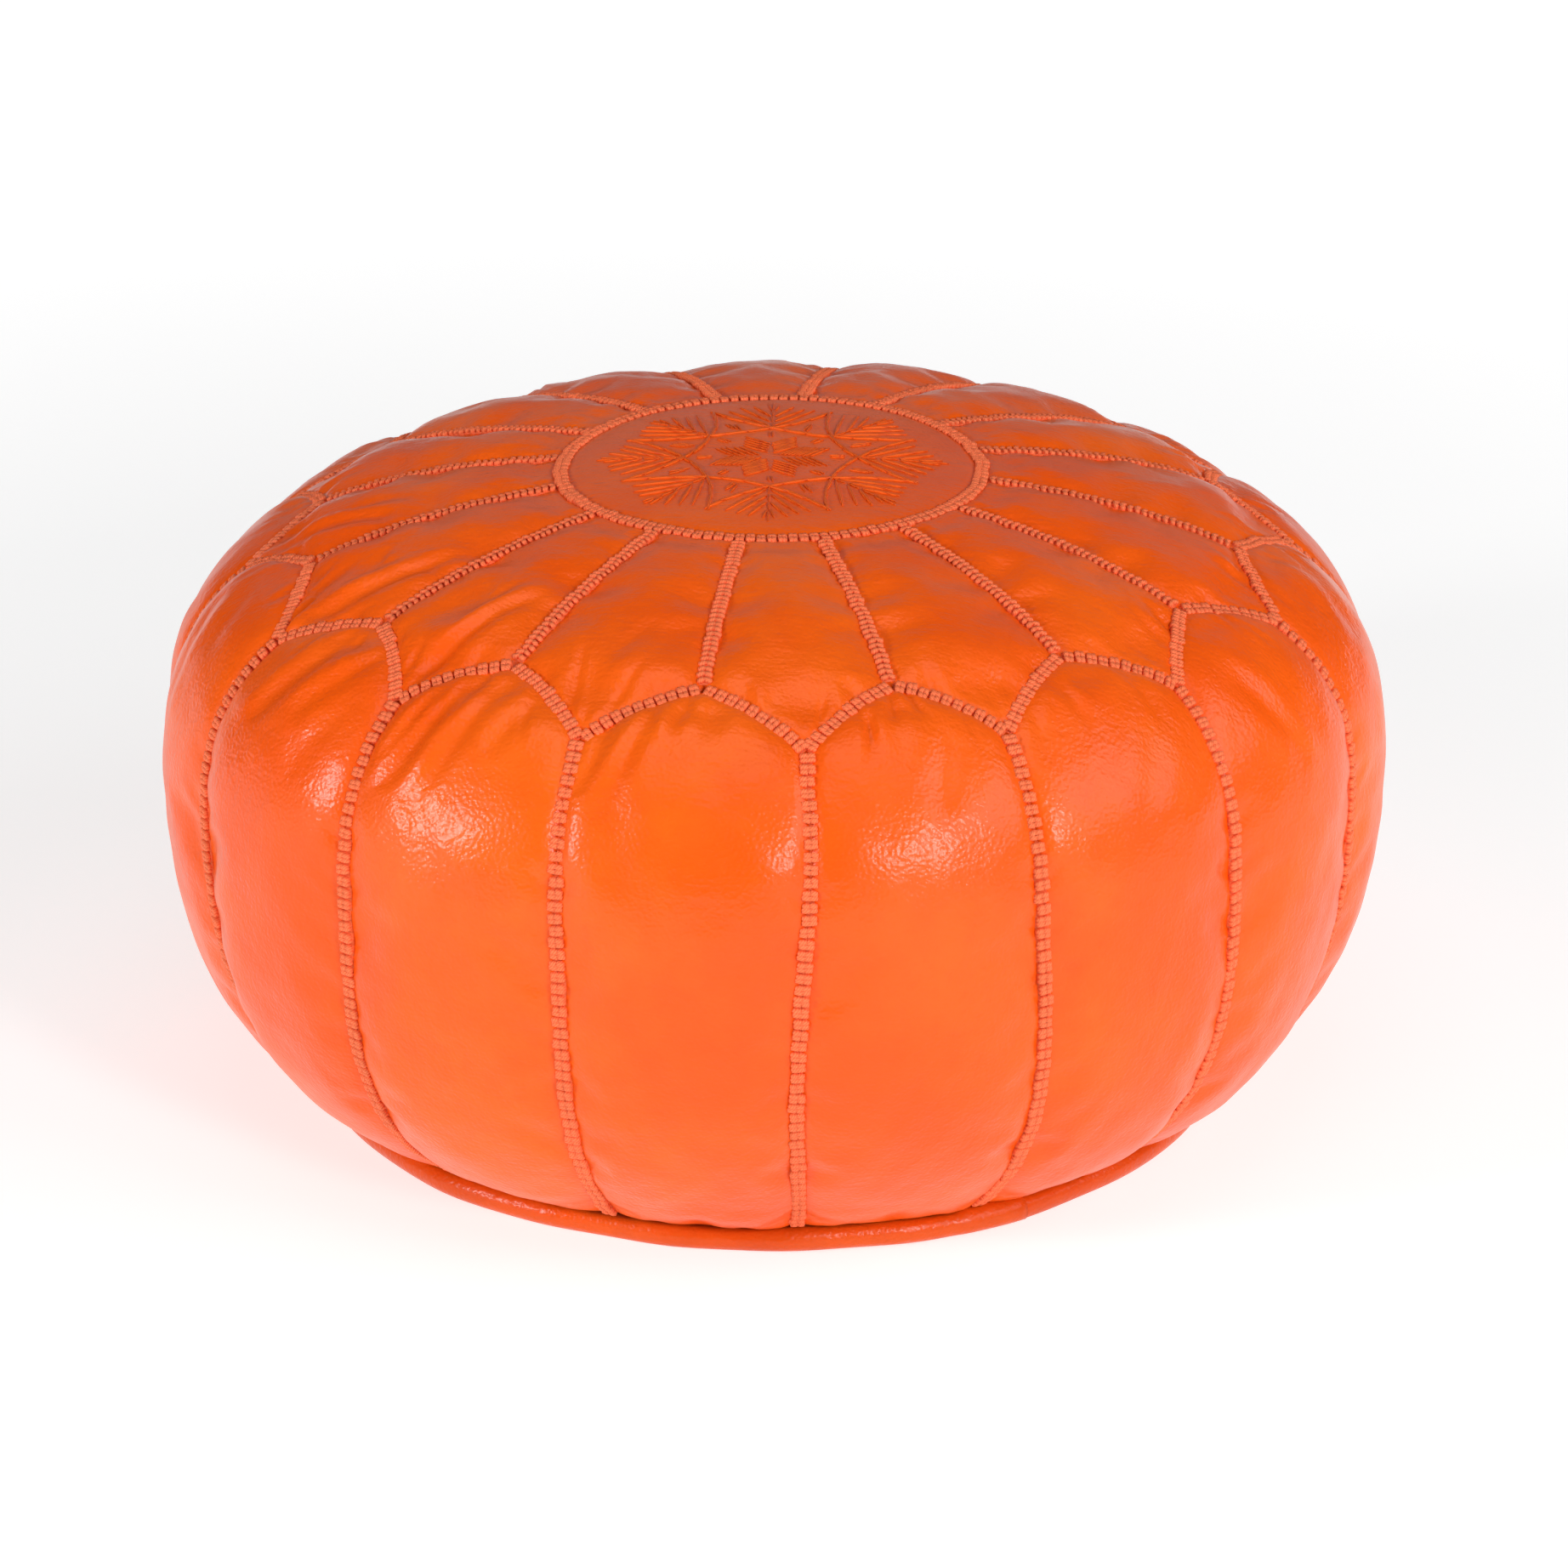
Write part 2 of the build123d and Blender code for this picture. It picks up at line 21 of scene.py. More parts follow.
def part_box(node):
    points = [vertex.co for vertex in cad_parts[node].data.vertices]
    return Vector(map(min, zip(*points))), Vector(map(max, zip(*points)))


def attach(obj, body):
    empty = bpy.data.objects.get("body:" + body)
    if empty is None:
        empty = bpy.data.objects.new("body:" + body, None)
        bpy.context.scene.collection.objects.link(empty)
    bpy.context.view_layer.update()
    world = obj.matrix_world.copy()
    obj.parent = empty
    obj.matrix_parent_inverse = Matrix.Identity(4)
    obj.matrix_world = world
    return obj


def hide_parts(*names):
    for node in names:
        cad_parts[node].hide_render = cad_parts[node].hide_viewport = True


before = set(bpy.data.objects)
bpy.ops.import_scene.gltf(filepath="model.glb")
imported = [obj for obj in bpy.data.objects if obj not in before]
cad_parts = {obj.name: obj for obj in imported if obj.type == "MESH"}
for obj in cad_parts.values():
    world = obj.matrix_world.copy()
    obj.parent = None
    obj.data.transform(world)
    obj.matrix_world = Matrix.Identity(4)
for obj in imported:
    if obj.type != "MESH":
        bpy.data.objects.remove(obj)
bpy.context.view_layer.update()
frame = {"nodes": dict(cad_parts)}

log = logging.getLogger("pouf")

Colour = tuple[float, float, float]

MM = 0.001
FULL_TURN = 2 * math.pi
UP = Vector((0, 0, 1))


class Slot(Enum):
    """The record's material slots."""

    LEATHER = "orange_leather"
    BASE = "base_leather"
    BRAID = "braid_thread"
    EMBROIDERY = "embroidery_thread"
    CORD = "cotton_cord"
    WADDING = "wadding"
    TAPE = "zip_tape"
    METAL = "zip_metal"


class Part(Enum):
    """The two kinds of leather panel in the net."""

    PETAL = "top_petal"
    SIDE = "side_panel"


# ----------------------------------------------------------------------------------------------------
# Finishes
# ----------------------------------------------------------------------------------------------------


class Shader:
    """A material under construction, with one Principled surface."""

    def __init__(self, name: str) -> None:
        """Starts an empty material.

        Args:
            name: the material's name.
        """
        self.material = bpy.data.materials.new(name)
        self.material.use_nodes = True
        self.tree = self.material.node_tree
        self.tree.nodes.clear()
        output = self.tree.nodes.new("ShaderNodeOutputMaterial")
        self.surface = self.tree.nodes.new("ShaderNodeBsdfPrincipled")
        self.tree.links.new(self.surface.outputs[0], output.inputs["Surface"])

    def node(self, kind: str, inputs: dict[Any, Any] | None = None, **settings: Any) -> bpy.types.Node:
        """Adds a node.

        Args:
            kind: the node's type, without its "ShaderNode" start.
            inputs: a value or an output socket for each named or numbered input.
            **settings: the node's own properties.

        Returns:
            The new node.
        """
        made = self.tree.nodes.new("ShaderNode" + kind)
        for key, value in settings.items():
            setattr(made, key, value)
        for key, value in (inputs or {}).items():
            self.feed(made.inputs[key], value)
        return made

    def feed(self, socket: bpy.types.NodeSocket, value: Any) -> None:
        """Links an output to a socket, or sets the socket's own value.

        Args:
            socket: the input to feed.
            value: an output socket, a node, whose first output is used, or a plain value.
        """
        if isinstance(value, bpy.types.Node):
            value = value.outputs[0]
        if isinstance(value, bpy.types.NodeSocket):
            self.tree.links.new(value, socket)
        else:
            socket.default_value = value

    def coat(self, **values: Any) -> None:
        """Feeds the surface's inputs, named with underscores for spaces.

        Args:
            **values: a value or an output for each input.
        """
        for key, value in values.items():
            self.feed(self.surface.inputs[key.replace("_", " ")], value)

    def place(self, scale: tuple[float, float, float] = (1, 1, 1), turn: float = 0.0) -> bpy.types.Node:
        """Object coordinates, stretched and turned about Z.

        Args:
            scale: the factor along each axis.
            turn: the angle about Z in radians.

        Returns:
            The mapping node.
        """
        spot = self.node("TexCoord").outputs["Object"]
        return self.node("Mapping", {"Vector": spot, "Scale": scale, "Rotation": (0, 0, turn)})

    def noise(
        self, vector: Any, scale: float, detail: float = 3, roughness: float = 0.5
    ) -> bpy.types.NodeSocket:
        """Value of a noise texture.

        Args:
            vector: where it is read.
            scale: features per metre.
            detail: octaves.
            roughness: share of the fine octaves.

        Returns:
            The noise's value.
        """
        inputs = {"Vector": vector, "Scale": scale, "Detail": detail, "Roughness": roughness}
        return self.node("TexNoise", inputs).outputs[0]

    def ramp(
        self, value: Any, low: float, high: float, start: float = 0.0, end: float = 1.0
    ) -> bpy.types.Node:
        """Smooth step of a value into another range.

        Args:
            value: the value to map.
            low: where the step starts.
            high: where it ends.
            start: the result below low.
            end: the result above high.

        Returns:
            The map range node.
        """
        inputs = {0: value, 1: low, 2: high, 3: start, 4: end}
        return self.node("MapRange", inputs, interpolation_type="SMOOTHSTEP")

    def mix(self, share: Any, first: Any, second: Any) -> bpy.types.NodeSocket:
        """Colour mix.

        Args:
            share: the second colour's share.
            first: the colour at 0.
            second: the colour at 1.

        Returns:
            The mixed colour.
        """
        made = self.node("Mix", {0: share, 6: first, 7: second}, data_type="RGBA")
        return made.outputs[2]

    def bump(self, height: Any, depth: float, strength: float = 1.0, under: Any = None) -> bpy.types.Node:
        """Bump from a height.

        Args:
            height: the height, from 0 to 1.
            depth: what 1 stands for, in metres.
            strength: the bump's strength.
            under: an earlier bump that this one lies on.

        Returns:
            The bump node.
        """
        inputs = {"Height": height, "Distance": depth, "Strength": strength}
        if under is not None:
            inputs["Normal"] = under
        return self.node("Bump", inputs)


def paint(colour: Colour, gain: float = 1.0) -> tuple[float, float, float, float]:
    """Opaque linear colour, made lighter or darker.

    Args:
        colour: red, green and blue.
        gain: the factor on all three.

    Returns:
        The colour with an alpha of 1.
    """
    return (colour[0] * gain, colour[1] * gain, colour[2] * gain, 1.0)


@dataclass(frozen=True)
class LeatherFinish:
    """Dyed goat leather with a satin dressing: pebbled grain, drawn creases and uneven dye, darker near the
    seams, partly as dye pooled and worn along the stitching and partly as painted shade in the seam grooves.
    """

    name: str = "dyed_goat_leather"
    face: Colour = (0.96, 0.135, 0.006)
    deep: Colour = (0.82, 0.085, 0.002)
    gloss: float = 0.37
    dressing: float = 0.38
    grain_count: float = 640.0
    grain_depth: float = 0.24 * MM
    crease_depth: float = 0.6 * MM
    softness: float = 1.0 * MM
    refraction: float = 1.45

    def material(self) -> bpy.types.Material:
        """Makes the material.

        Returns:
            The finished leather.
        """
        shader = Shader(self.name)
        plain = shader.place()
        cloud = shader.ramp(shader.noise(plain, 9, 4, 0.55), 0.32, 0.68)
        mottle = shader.ramp(shader.noise(plain, 60, 5, 0.65), 0.30, 0.75)
        hide = shader.node("Attribute", attribute_name="hide").outputs["Fac"]
        seam = shader.node("Attribute", attribute_name="seam").outputs["Fac"]
        drawn = self._drawn_lines(shader)
        dye = shader.mix(cloud, paint(self.face), paint(self.deep, 1.10))
        dye = shader.mix(shader.ramp(mottle, 0, 1, 0, 0.2), dye, paint(self.deep, 0.95))
        dye = shader.mix(shader.ramp(hide, 0, 1, 0, 0.4), dye, paint(self.deep, 1.12))
        dye = shader.mix(shader.ramp(drawn, 0.30, 0.42, 0.10, 0), dye, paint(self.deep, 0.8))
        # Darker near the seams: partly dye pooled and worn along the stitching, partly painted shade in the
        # seam grooves.
        dye = shader.mix(shader.ramp(seam, 0.2, 1.0, 0, 0.5), dye, paint(self.deep, 0.6))

        pebbles = shader.node("TexVoronoi", {"Vector": plain, "Scale": self.grain_count}, feature="SMOOTH_F1")
        pores = shader.noise(plain, 1500, 2)
        body = shader.noise(shader.place((1, 1, 0.8)), 42, 3, 0.5)
        under = shader.bump(body, self.softness, 0.5)
        under = shader.bump(drawn, self.crease_depth, 0.7, under)
        under = shader.bump(pebbles.outputs["Distance"], self.grain_depth, 0.9, under)
        under = shader.bump(pores, self.grain_depth * 0.3, 0.6, under)

        wear = shader.noise(plain, 26, 4, 0.6)
        rough = shader.ramp(wear, 0.3, 0.7, self.gloss - 0.05, self.gloss + 0.08)
        shader.coat(Base_Color=dye, Roughness=rough, Normal=under)
        shader.coat(IOR=self.refraction, Specular_IOR_Level=0.19)
        shader.coat(Coat_Weight=self.dressing, Coat_Roughness=0.23)
        shader.coat(Coat_IOR=self.refraction, Coat_Normal=under)
        return shader.material

    def _drawn_lines(self, shader: Shader) -> bpy.types.NodeSocket:
        """Short creases that run every way, where the skin was drawn over the filling.

        Args:
            shader: the material under construction.

        Returns:
            Their height, lowest along the creases.
        """
        lines = {}
        for number, (turn, stretch) in enumerate(((0.5, 5.0), (2.0, 6.0))):
            spot = shader.place((1.0, stretch, 1.0 + stretch / 3), turn)
            lines[number] = shader.noise(spot, 60, 3, 0.55)
        return shader.node("Math", lines, operation="MINIMUM").outputs[0]


@dataclass(frozen=True)
class ThreadFinish:
    """Twisted rayon thread: its own colour on the crowns, and painted shade in the hollows between its
    strands.
    """

    name: str
    crown: Colour
    hollow_shade: Colour
    strands: float = 0.5
    gloss: float = 0.5

    def material(self) -> bpy.types.Material:
        """Makes the material, which reads the thread's own frame from the attribute "strand".

        Returns:
            The finished thread.
        """
        shader = Shader(self.name)
        own = shader.node("Attribute", attribute_name="strand").outputs["Vector"]
        twisted = shader.node("Mapping", {"Vector": own, "Rotation": (0, 0, 0.45)})
        inputs = {"Vector": twisted, "Scale": self.strands, "Distortion": 0.8, "Detail": 1.0}
        wave = shader.node("TexWave", inputs, bands_direction="X").outputs["Fac"]
        fuzz = shader.noise(shader.place(), 900, 3)
        tone = shader.ramp(shader.noise(shader.place(), 70, 2), 0.35, 0.65, 0, 0.35)
        # Darker in the hollows between the strands: painted shade.
        dye = shader.mix(shader.ramp(wave, 0.0, 0.8), paint(self.hollow_shade), paint(self.crown))
        dye = shader.mix(tone, dye, paint(self.crown, 0.78))
        under = shader.bump(wave, 0.10 * MM, 0.8)
        under = shader.bump(fuzz, 0.05 * MM, 0.5, under)
        shader.coat(Base_Color=dye, Roughness=self.gloss, Normal=under, Specular_IOR_Level=0.14)
        return shader.material


@dataclass(frozen=True)
class WovenFinish:
    """Plain weave of two threads, with painted shade in the gaps between them, for the zip's tapes and the
    wadding's lint.
    """

    name: str
    thread: Colour
    gap: Colour
    bands: float = 300.0

    def material(self) -> bpy.types.Material:
        """Makes the material.

        Returns:
            The finished cloth.
        """
        shader = Shader(self.name)
        plain = shader.place()
        threads = {}
        for number, way in enumerate("XY"):
            inputs = {"Vector": plain, "Scale": self.bands}
            threads[number] = shader.node("TexWave", inputs, bands_direction=way).outputs["Fac"]
        weave = shader.node("Math", threads, operation="MULTIPLY")
        lint = shader.ramp(shader.noise(plain, 240, 4), 0.3, 0.7)
        # Darker in the gaps between the threads: painted shade.
        dye = shader.mix(weave, paint(self.gap), paint(self.thread))
        dye = shader.mix(shader.ramp(lint, 0, 1, 0, 0.3), dye, paint(self.gap))
        under = shader.bump(weave, 0.15 * MM, 0.7)
        shader.coat(Base_Color=dye, Roughness=0.85, Normal=under, Sheen_Weight=0.3)
        return shader.material


@dataclass(frozen=True)
class BrassFinish:
    """Brushed and handled brass of the zip."""

    name: str = "zip_brass"
    bright: Colour = (0.80, 0.58, 0.26)
    dull: Colour = (0.48, 0.32, 0.13)

    def material(self) -> bpy.types.Material:
        """Makes the material.

        Returns:
            The finished brass.
        """
        shader = Shader(self.name)
        tarnish = shader.ramp(shader.noise(shader.place(), 260, 4), 0.4, 0.7)
        brushed = shader.noise(shader.place((1, 14, 1)), 900, 2)
        dye = shader.mix(tarnish, paint(self.bright), paint(self.dull))
        rough = shader.ramp(tarnish, 0, 1, 0.22, 0.45)
        under = shader.bump(brushed, 0.02 * MM, 0.6)
        shader.coat(Base_Color=dye, Roughness=rough, Metallic=1.0, Normal=under)
        return shader.material


class Wardrobe:
    """The pouf's finishes, each made once and shared by every piece of its slot."""

    def __init__(self) -> None:
        """Makes every finish."""
        coral = ThreadFinish("braid_coral_thread", (1.0, 0.225, 0.09), (0.90, 0.14, 0.045))
        rust = ThreadFinish("embroidery_rust_thread", (0.96, 0.15, 0.018), (0.66, 0.06, 0.006), 0.6, 0.4)
        base = LeatherFinish("base_leather", (0.78, 0.102, 0.005), (0.60, 0.064, 0.002), 0.38, 0.3)
        self.made: dict[Slot, bpy.types.Material] = {
            Slot.LEATHER: LeatherFinish().material(),
            Slot.BASE: base.material(),
            Slot.BRAID: coral.material(),
            Slot.EMBROIDERY: rust.material(),
            Slot.CORD: WovenFinish("cotton_cord", (0.78, 0.74, 0.64), (0.45, 0.40, 0.32)).material(),
            Slot.WADDING: WovenFinish("wadding", (0.85, 0.82, 0.74), (0.60, 0.56, 0.48)).material(),
            Slot.TAPE: WovenFinish("zip_tape", (0.62, 0.085, 0.015), (0.24, 0.020, 0.004)).material(),
            Slot.METAL: BrassFinish().material(),
        }
        # Dark thread for the block under each bead: painted shade in the braid's gaps.
        ground = ThreadFinish("braid_ground_thread", (0.52, 0.034, 0.008), (0.34, 0.016, 0.004))
        madder = ThreadFinish("embroidery_madder_thread", (0.30, 0.016, 0.003), (0.14, 0.006, 0.001))
        self.ground, self.madder = ground.material(), madder.material()

    def dress(self, piece: bpy.types.Object, slot: Slot, *more: bpy.types.Material) -> None:
        """Gives a piece the finish of its slot.

        Args:
            piece: the piece to dress.
            slot: its slot in the record.
            *more: further materials, for the faces that use them.
        """
        piece.data.materials.clear()
        for material in (self.made[slot], *more):
            piece.data.materials.append(material)


# ----------------------------------------------------------------------------------------------------
# Shape of the body and its seams
# ----------------------------------------------------------------------------------------------------


@dataclass
class BodyForm:
    """The stuffed body before it slumps: an upright section of two superellipse arcs, turned about +Z."""

    waist_radius: float
    crown_height: float
    waist_height: float = 156 * MM
    lower_reach: float = 190.8 * MM
    fullness: float = 2.62
    foot_height: float = 10 * MM
    samples: int = 4000

    def __post_init__(self) -> None:
        """Measures the section once, so that a travel along it can be turned into a place."""
        share = (self.waist_height - self.foot_height) / self.lower_reach
        foot_turn = -math.asin(share ** (self.fullness / 2))
        self.turns = np.linspace(math.pi / 2, foot_turn, self.samples)
        radius, height, _, _ = self.section(self.turns)
        steps = np.hypot(np.diff(radius), np.diff(height))
        self.travels = np.concatenate(([0.0], np.cumsum(steps)))
        self.radii = radius
        self.foot = float(self.travels[-1])
        self.waist = float(np.interp(0.0, -self.turns, self.travels))

    def section(self, turn: np.ndarray) -> tuple[np.ndarray, np.ndarray, np.ndarray, np.ndarray]:
        """Section curve at an angle of the superellipse.

        Args:
            turn: angles in radians, from a quarter turn at the crown to below 0 at the foot.

        Returns:
            The radius, the height, and the outward normal's two parts.
        """
        reach = np.where(turn >= 0, self.crown_height - self.waist_height, self.lower_reach)
        power = 2 / self.fullness
        radius = self.waist_radius * np.clip(np.cos(turn), 0, None) ** power
        rise = reach * np.abs(np.sin(turn)) ** power
        normal_r = (radius / self.waist_radius) ** (self.fullness - 1) / self.waist_radius
        normal_z = (rise / reach) ** (self.fullness - 1) / reach
        size = np.hypot(normal_r, normal_z)
        side = np.where(turn >= 0, 1.0, -1.0)
        return radius, self.waist_height + side * rise, normal_r / size, side * normal_z / size

    def travel_at_radius(self, radius: np.ndarray) -> np.ndarray:
        """How far down from the crown the upper section reaches each radius."""
        turn = np.arccos(np.clip(radius / self.waist_radius, 0, 1) ** (self.fullness / 2))
        return np.interp(-turn, -self.turns, self.travels)

    def radius_at(self, travel: np.ndarray) -> np.ndarray:
        """Radius at each travel from the crown."""
        return np.interp(travel, self.travels, self.radii)

    def normal(self, angle: np.ndarray, travel: np.ndarray) -> np.ndarray:
        """Outward normals of the smooth body.

        Args:
            angle: angles about +Z.
            travel: lengths down from the crown.

        Returns:
            One unit vector a row.
        """
        turn = np.interp(travel, self.travels, self.turns)
        _, _, out_r, out_z = self.section(turn)
        return np.stack([out_r * np.cos(angle), out_r * np.sin(angle), out_z], axis=1)

    def place(self, angle: np.ndarray, travel: np.ndarray, outwards: np.ndarray | float = 0.0) -> np.ndarray:
        """Points on or off the smooth body.

        Args:
            angle: angles about +Z.
            travel: lengths down from the crown.
            outwards: distances along the normal.

        Returns:
            One point a row.
        """
        turn = np.interp(travel, self.travels, self.turns)
        radius, height, _, _ = self.section(turn)
        points = np.stack([radius * np.cos(angle), radius * np.sin(angle), height], axis=1)
        return points + self.normal(angle, travel) * np.reshape(outwards, (-1, 1))


@dataclass
class Slump:
    """How hand sewing and stuffing leave the round body slightly uneven. Every soft piece shifts alike."""

    side_swell: float = 1.8 * MM
    drift: float = 1.6 * MM
    lift_share: float = 0.6
    steady_height: float = 30 * MM
    steady_radius: float = 200 * MM

    def settle(self, points: np.ndarray) -> np.ndarray:
        """Moves points with the uneven body. Nothing moves at the floor.

        Args:
            points: one point a row.

        Returns:
            The moved points.
        """
        angle = np.arctan2(points[:, 1], points[:, 0])
        radius = np.hypot(points[:, 0], points[:, 1])
        height = points[:, 2]
        hold = np.clip(height / self.steady_height, 0, 1) ** 2
        rim = np.clip(radius / self.steady_radius, 0, 1)
        swell = np.sin(2 * angle + 0.7) + 0.7 * np.sin(3 * angle + 2.1)
        swell += 0.5 * np.sin(5 * angle - 0.4 + 9 * height)
        shift = np.sin(7 * angle + 23 * height) + 0.8 * np.sin(4 * angle - 31 * height + 1.0)
        out = self.side_swell * swell * hold * rim
        round_it = self.drift * shift * hold * rim
        moved = points.copy()
        moved[:, 0] += out * np.cos(angle) - round_it * np.sin(angle)
        moved[:, 1] += out * np.sin(angle) + round_it * np.cos(angle)
        moved[:, 2] += self.lift_share * self.side_swell * np.sin(2 * angle - 1.1) * hold * rim
        return moved


@dataclass
class SeamPlan:
    """Where the cover's seams run: the medallion's ring, the petal seams, the arches and the side seams."""

    form: BodyForm
    panels: int = 16
    petal_seam_angle: float = -math.pi / 2
    ring_radius: float = 89.5 * MM
    arch_peak_radius: float = 198.5 * MM
    arch_foot_radius: float = 225.5 * MM
    arch_bulge: float = 1.5 * MM
    seam_depth: float = 4.2 * MM
    groove: float = 2.2 * MM
    shoulder: float = 3.4 * MM
    side_puff: float = 2.6 * MM
    petal_puff: float = 1.1 * MM
    puff_power: float = 2.4
    end_slope: float = 14 * MM
    # How far the darkening near the seams reaches: partly pooled dye, partly painted shade in the seam
    # grooves.
    shade: float = 3.0 * MM

    def __post_init__(self) -> None:
        """Works out what follows from the sizes."""
        self.pitch = FULL_TURN / self.panels
        self.ring_travel = float(self.form.travel_at_radius(np.array([self.ring_radius]))[0])
        peak = Vector((self.arch_peak_radius, 0))
        foot = Vector((math.cos(self.pitch / 2), math.sin(self.pitch / 2))) * self.arch_foot_radius
        chord = foot - peak
        outwards = Vector((chord.y, -chord.x)).normalized()
        self.arch_round = (chord.length / 2) ** 2 / (2 * self.arch_bulge) + self.arch_bulge / 2
        self.arch_centre = peak + chord / 2 + outwards * (self.arch_round - self.arch_bulge)

    def across(self, angle: np.ndarray) -> np.ndarray:
        """Place in a side panel's width: 0 at the petal seam above it, -0.5 and 0.5 at its side seams."""
        turns = (angle - self.petal_seam_angle) / self.pitch
        return turns - np.round(turns)

    def arch_travel(self, angle: np.ndarray) -> np.ndarray:
        """How far down from the crown the arches cross the meridian at each angle.

        Args:
            angle: angles about +Z.

        Returns:
            The travels.
        """
        near = np.abs(self.across(angle)) * self.pitch
        along = self.arch_centre.x * np.cos(near) + self.arch_centre.y * np.sin(near)
        behind = along**2 - self.arch_centre.length_squared + self.arch_round**2
        return self.form.travel_at_radius(along - np.sqrt(behind))

    def row_travel(self, angle: np.ndarray, row: np.ndarray, petal_rows: int, side_rows: int) -> np.ndarray:
        """Spreads a net's rows evenly, first from the ring to the arches and then from them to the foot.

        Args:
            angle: each vertex's angle.
            row: each vertex's row.
            petal_rows: rows above the arches.
            side_rows: rows below them.

        Returns:
            How far down from the crown each vertex lies.
        """
        arch = self.arch_travel(angle)
        above = self.ring_travel + (arch - self.ring_travel) * row / petal_rows
        below = arch + (self.form.foot - arch) * (row - petal_rows) / side_rows
        return np.where(row <= petal_rows, above, below)

    def rise(self, angle: np.ndarray, travel: np.ndarray) -> np.ndarray:
        """How far the stuffed panels stand off the smooth body, deepest at their seams.

        Args:
            angle: angles about +Z.
            travel: lengths down from the crown.

        Returns:
            Distances along the normal, below 0 inside the body.
        """
        below_arch = travel - self.arch_travel(angle)
        in_petal = below_arch < 0
        across = np.abs(self.across(angle))
        crown = 1 - np.where(in_petal, 1 - 2 * across, 2 * across) ** self.puff_power
        to_ring, to_foot = travel - self.ring_travel, self.form.foot - travel
        to_end = np.where(in_petal, np.minimum(to_ring, -below_arch), np.minimum(below_arch, to_foot))
        fill = 1 - np.exp(-np.clip(to_end, 0, None) / self.end_slope)
        puff = np.where(in_petal, self.petal_puff, self.side_puff)
        distance = np.clip(self.seam_distance(angle, travel), 0, None)
        return puff * crown * fill - self.seam_depth + self.groove * (1 - np.exp(-distance / self.shoulder))

    def seam_distance(self, angle: np.ndarray, travel: np.ndarray) -> np.ndarray:
        """Distance over the body to the nearest seam of the panel that each point is in.

        Args:
            angle: angles about +Z.
            travel: lengths down from the crown.

        Returns:
            The distances.
        """
        width = self.form.radius_at(travel) * self.pitch
        across = np.abs(self.across(angle))
        below_arch = travel - self.arch_travel(angle)
        in_petal = below_arch < 0
        sideways = np.where(in_petal, across, 0.5 - across) * width
        lengthways = np.where(in_petal, np.minimum(-below_arch, travel - self.ring_travel), below_arch)
        return np.minimum(sideways, np.abs(lengthways))


# ----------------------------------------------------------------------------------------------------
# Mesh helpers
# ----------------------------------------------------------------------------------------------------


def read_points(mesh: bpy.types.Mesh) -> np.ndarray:
    """Reads where every vertex of a mesh is.

    Args:
        mesh: the mesh.

    Returns:
        One point a row.
    """
    flat = np.empty(len(mesh.vertices) * 3, dtype=np.float32)
    mesh.vertices.foreach_get("co", flat)
    return flat.reshape(-1, 3).astype(float)


def write_points(mesh: bpy.types.Mesh, points: np.ndarray) -> None:
    """Moves every vertex of a mesh.

    Args:
        mesh: the mesh to change.
        points: one point a row.
    """
    mesh.vertices.foreach_set("co", points.astype(np.float32).ravel())
    mesh.update()


def add_piece(name: str, mesh: bpy.types.Mesh, smooth: bool = True) -> bpy.types.Object:
    """Puts a mesh in the scene as a piece at the origin.

    Args:
        name: the piece's name.
        mesh: its mesh.
        smooth: whether its faces are shaded smooth.

    Returns:
        The piece.
    """
    mesh.name = name
    mesh.shade_smooth() if smooth else mesh.shade_flat()
    piece = bpy.data.objects.new(name, mesh)
    bpy.context.scene.collection.objects.link(piece)
    return piece


def hand_over(piece: bpy.types.Object, node: str, note: str = "") -> None:
    """Lets a piece ride on the pouf and stand for a node of the frame, and reports it.

    Args:
        piece: the piece.
        node: the frame's node that it replaces.
        note: more to report.
    """
    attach(piece, "pouf")
    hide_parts(node)
    log.info("%s: %d faces%s", piece.name, len(piece.data.polygons), note)


def to_mesh(made: bmesh.types.BMesh, name: str) -> bpy.types.Mesh:
    """Turns a bmesh into a mesh and frees it.

    Args:
        made: the bmesh.
        name: the mesh's name.

    Returns:
        The mesh.
    """
    mesh = bpy.data.meshes.new(name)
    made.to_mesh(mesh)
    made.free()
    return mesh


def set_attribute(mesh: bpy.types.Mesh, name: str, values: np.ndarray) -> None:
    """Stores one number or vector for each vertex.

    Args:
        mesh: the mesh to change.
        name: the attribute's name.
        values: one value or one row a vertex.
    """
    if values.ndim == 1:
        mesh.attributes.new(name, "FLOAT", "POINT").data.foreach_set("value", values.astype(np.float32))
    else:
        made = mesh.attributes.new(name, "FLOAT_VECTOR", "POINT")
        made.data.foreach_set("vector", values.astype(np.float32).ravel())


def face_outwards(made: bmesh.types.BMesh) -> None:
    """Turns an open sheet's faces away from the body's axis and floor.

    Args:
        made: the bmesh to change.
    """
    bmesh.ops.recalc_face_normals(made, faces=made.faces)
    middle = Vector((0, 0, 120 * MM))
    outwards = sum((face.calc_center_median() - middle).dot(face.normal) for face in made.faces)
    if outwards < 0:
        bmesh.ops.reverse_faces(made, faces=made.faces)


def spin(made: bmesh.types.BMesh, angle: float, steps: int) -> None:
    """Spins everything in a bmesh about +Z. A full turn is closed.

    Args:
        made: the bmesh to change.
        angle: how far it is spun.
        steps: the copies along the way.
    """
    bmesh.ops.spin(
        made,
        geom=made.verts[:] + made.edges[:],
        cent=(0, 0, 0),
        axis=UP,
        dvec=(0, 0, 0),
        angle=angle,
        steps=steps,
        use_merge=angle == FULL_TURN,
        use_duplicate=False,
        space=Matrix.Identity(4),
    )


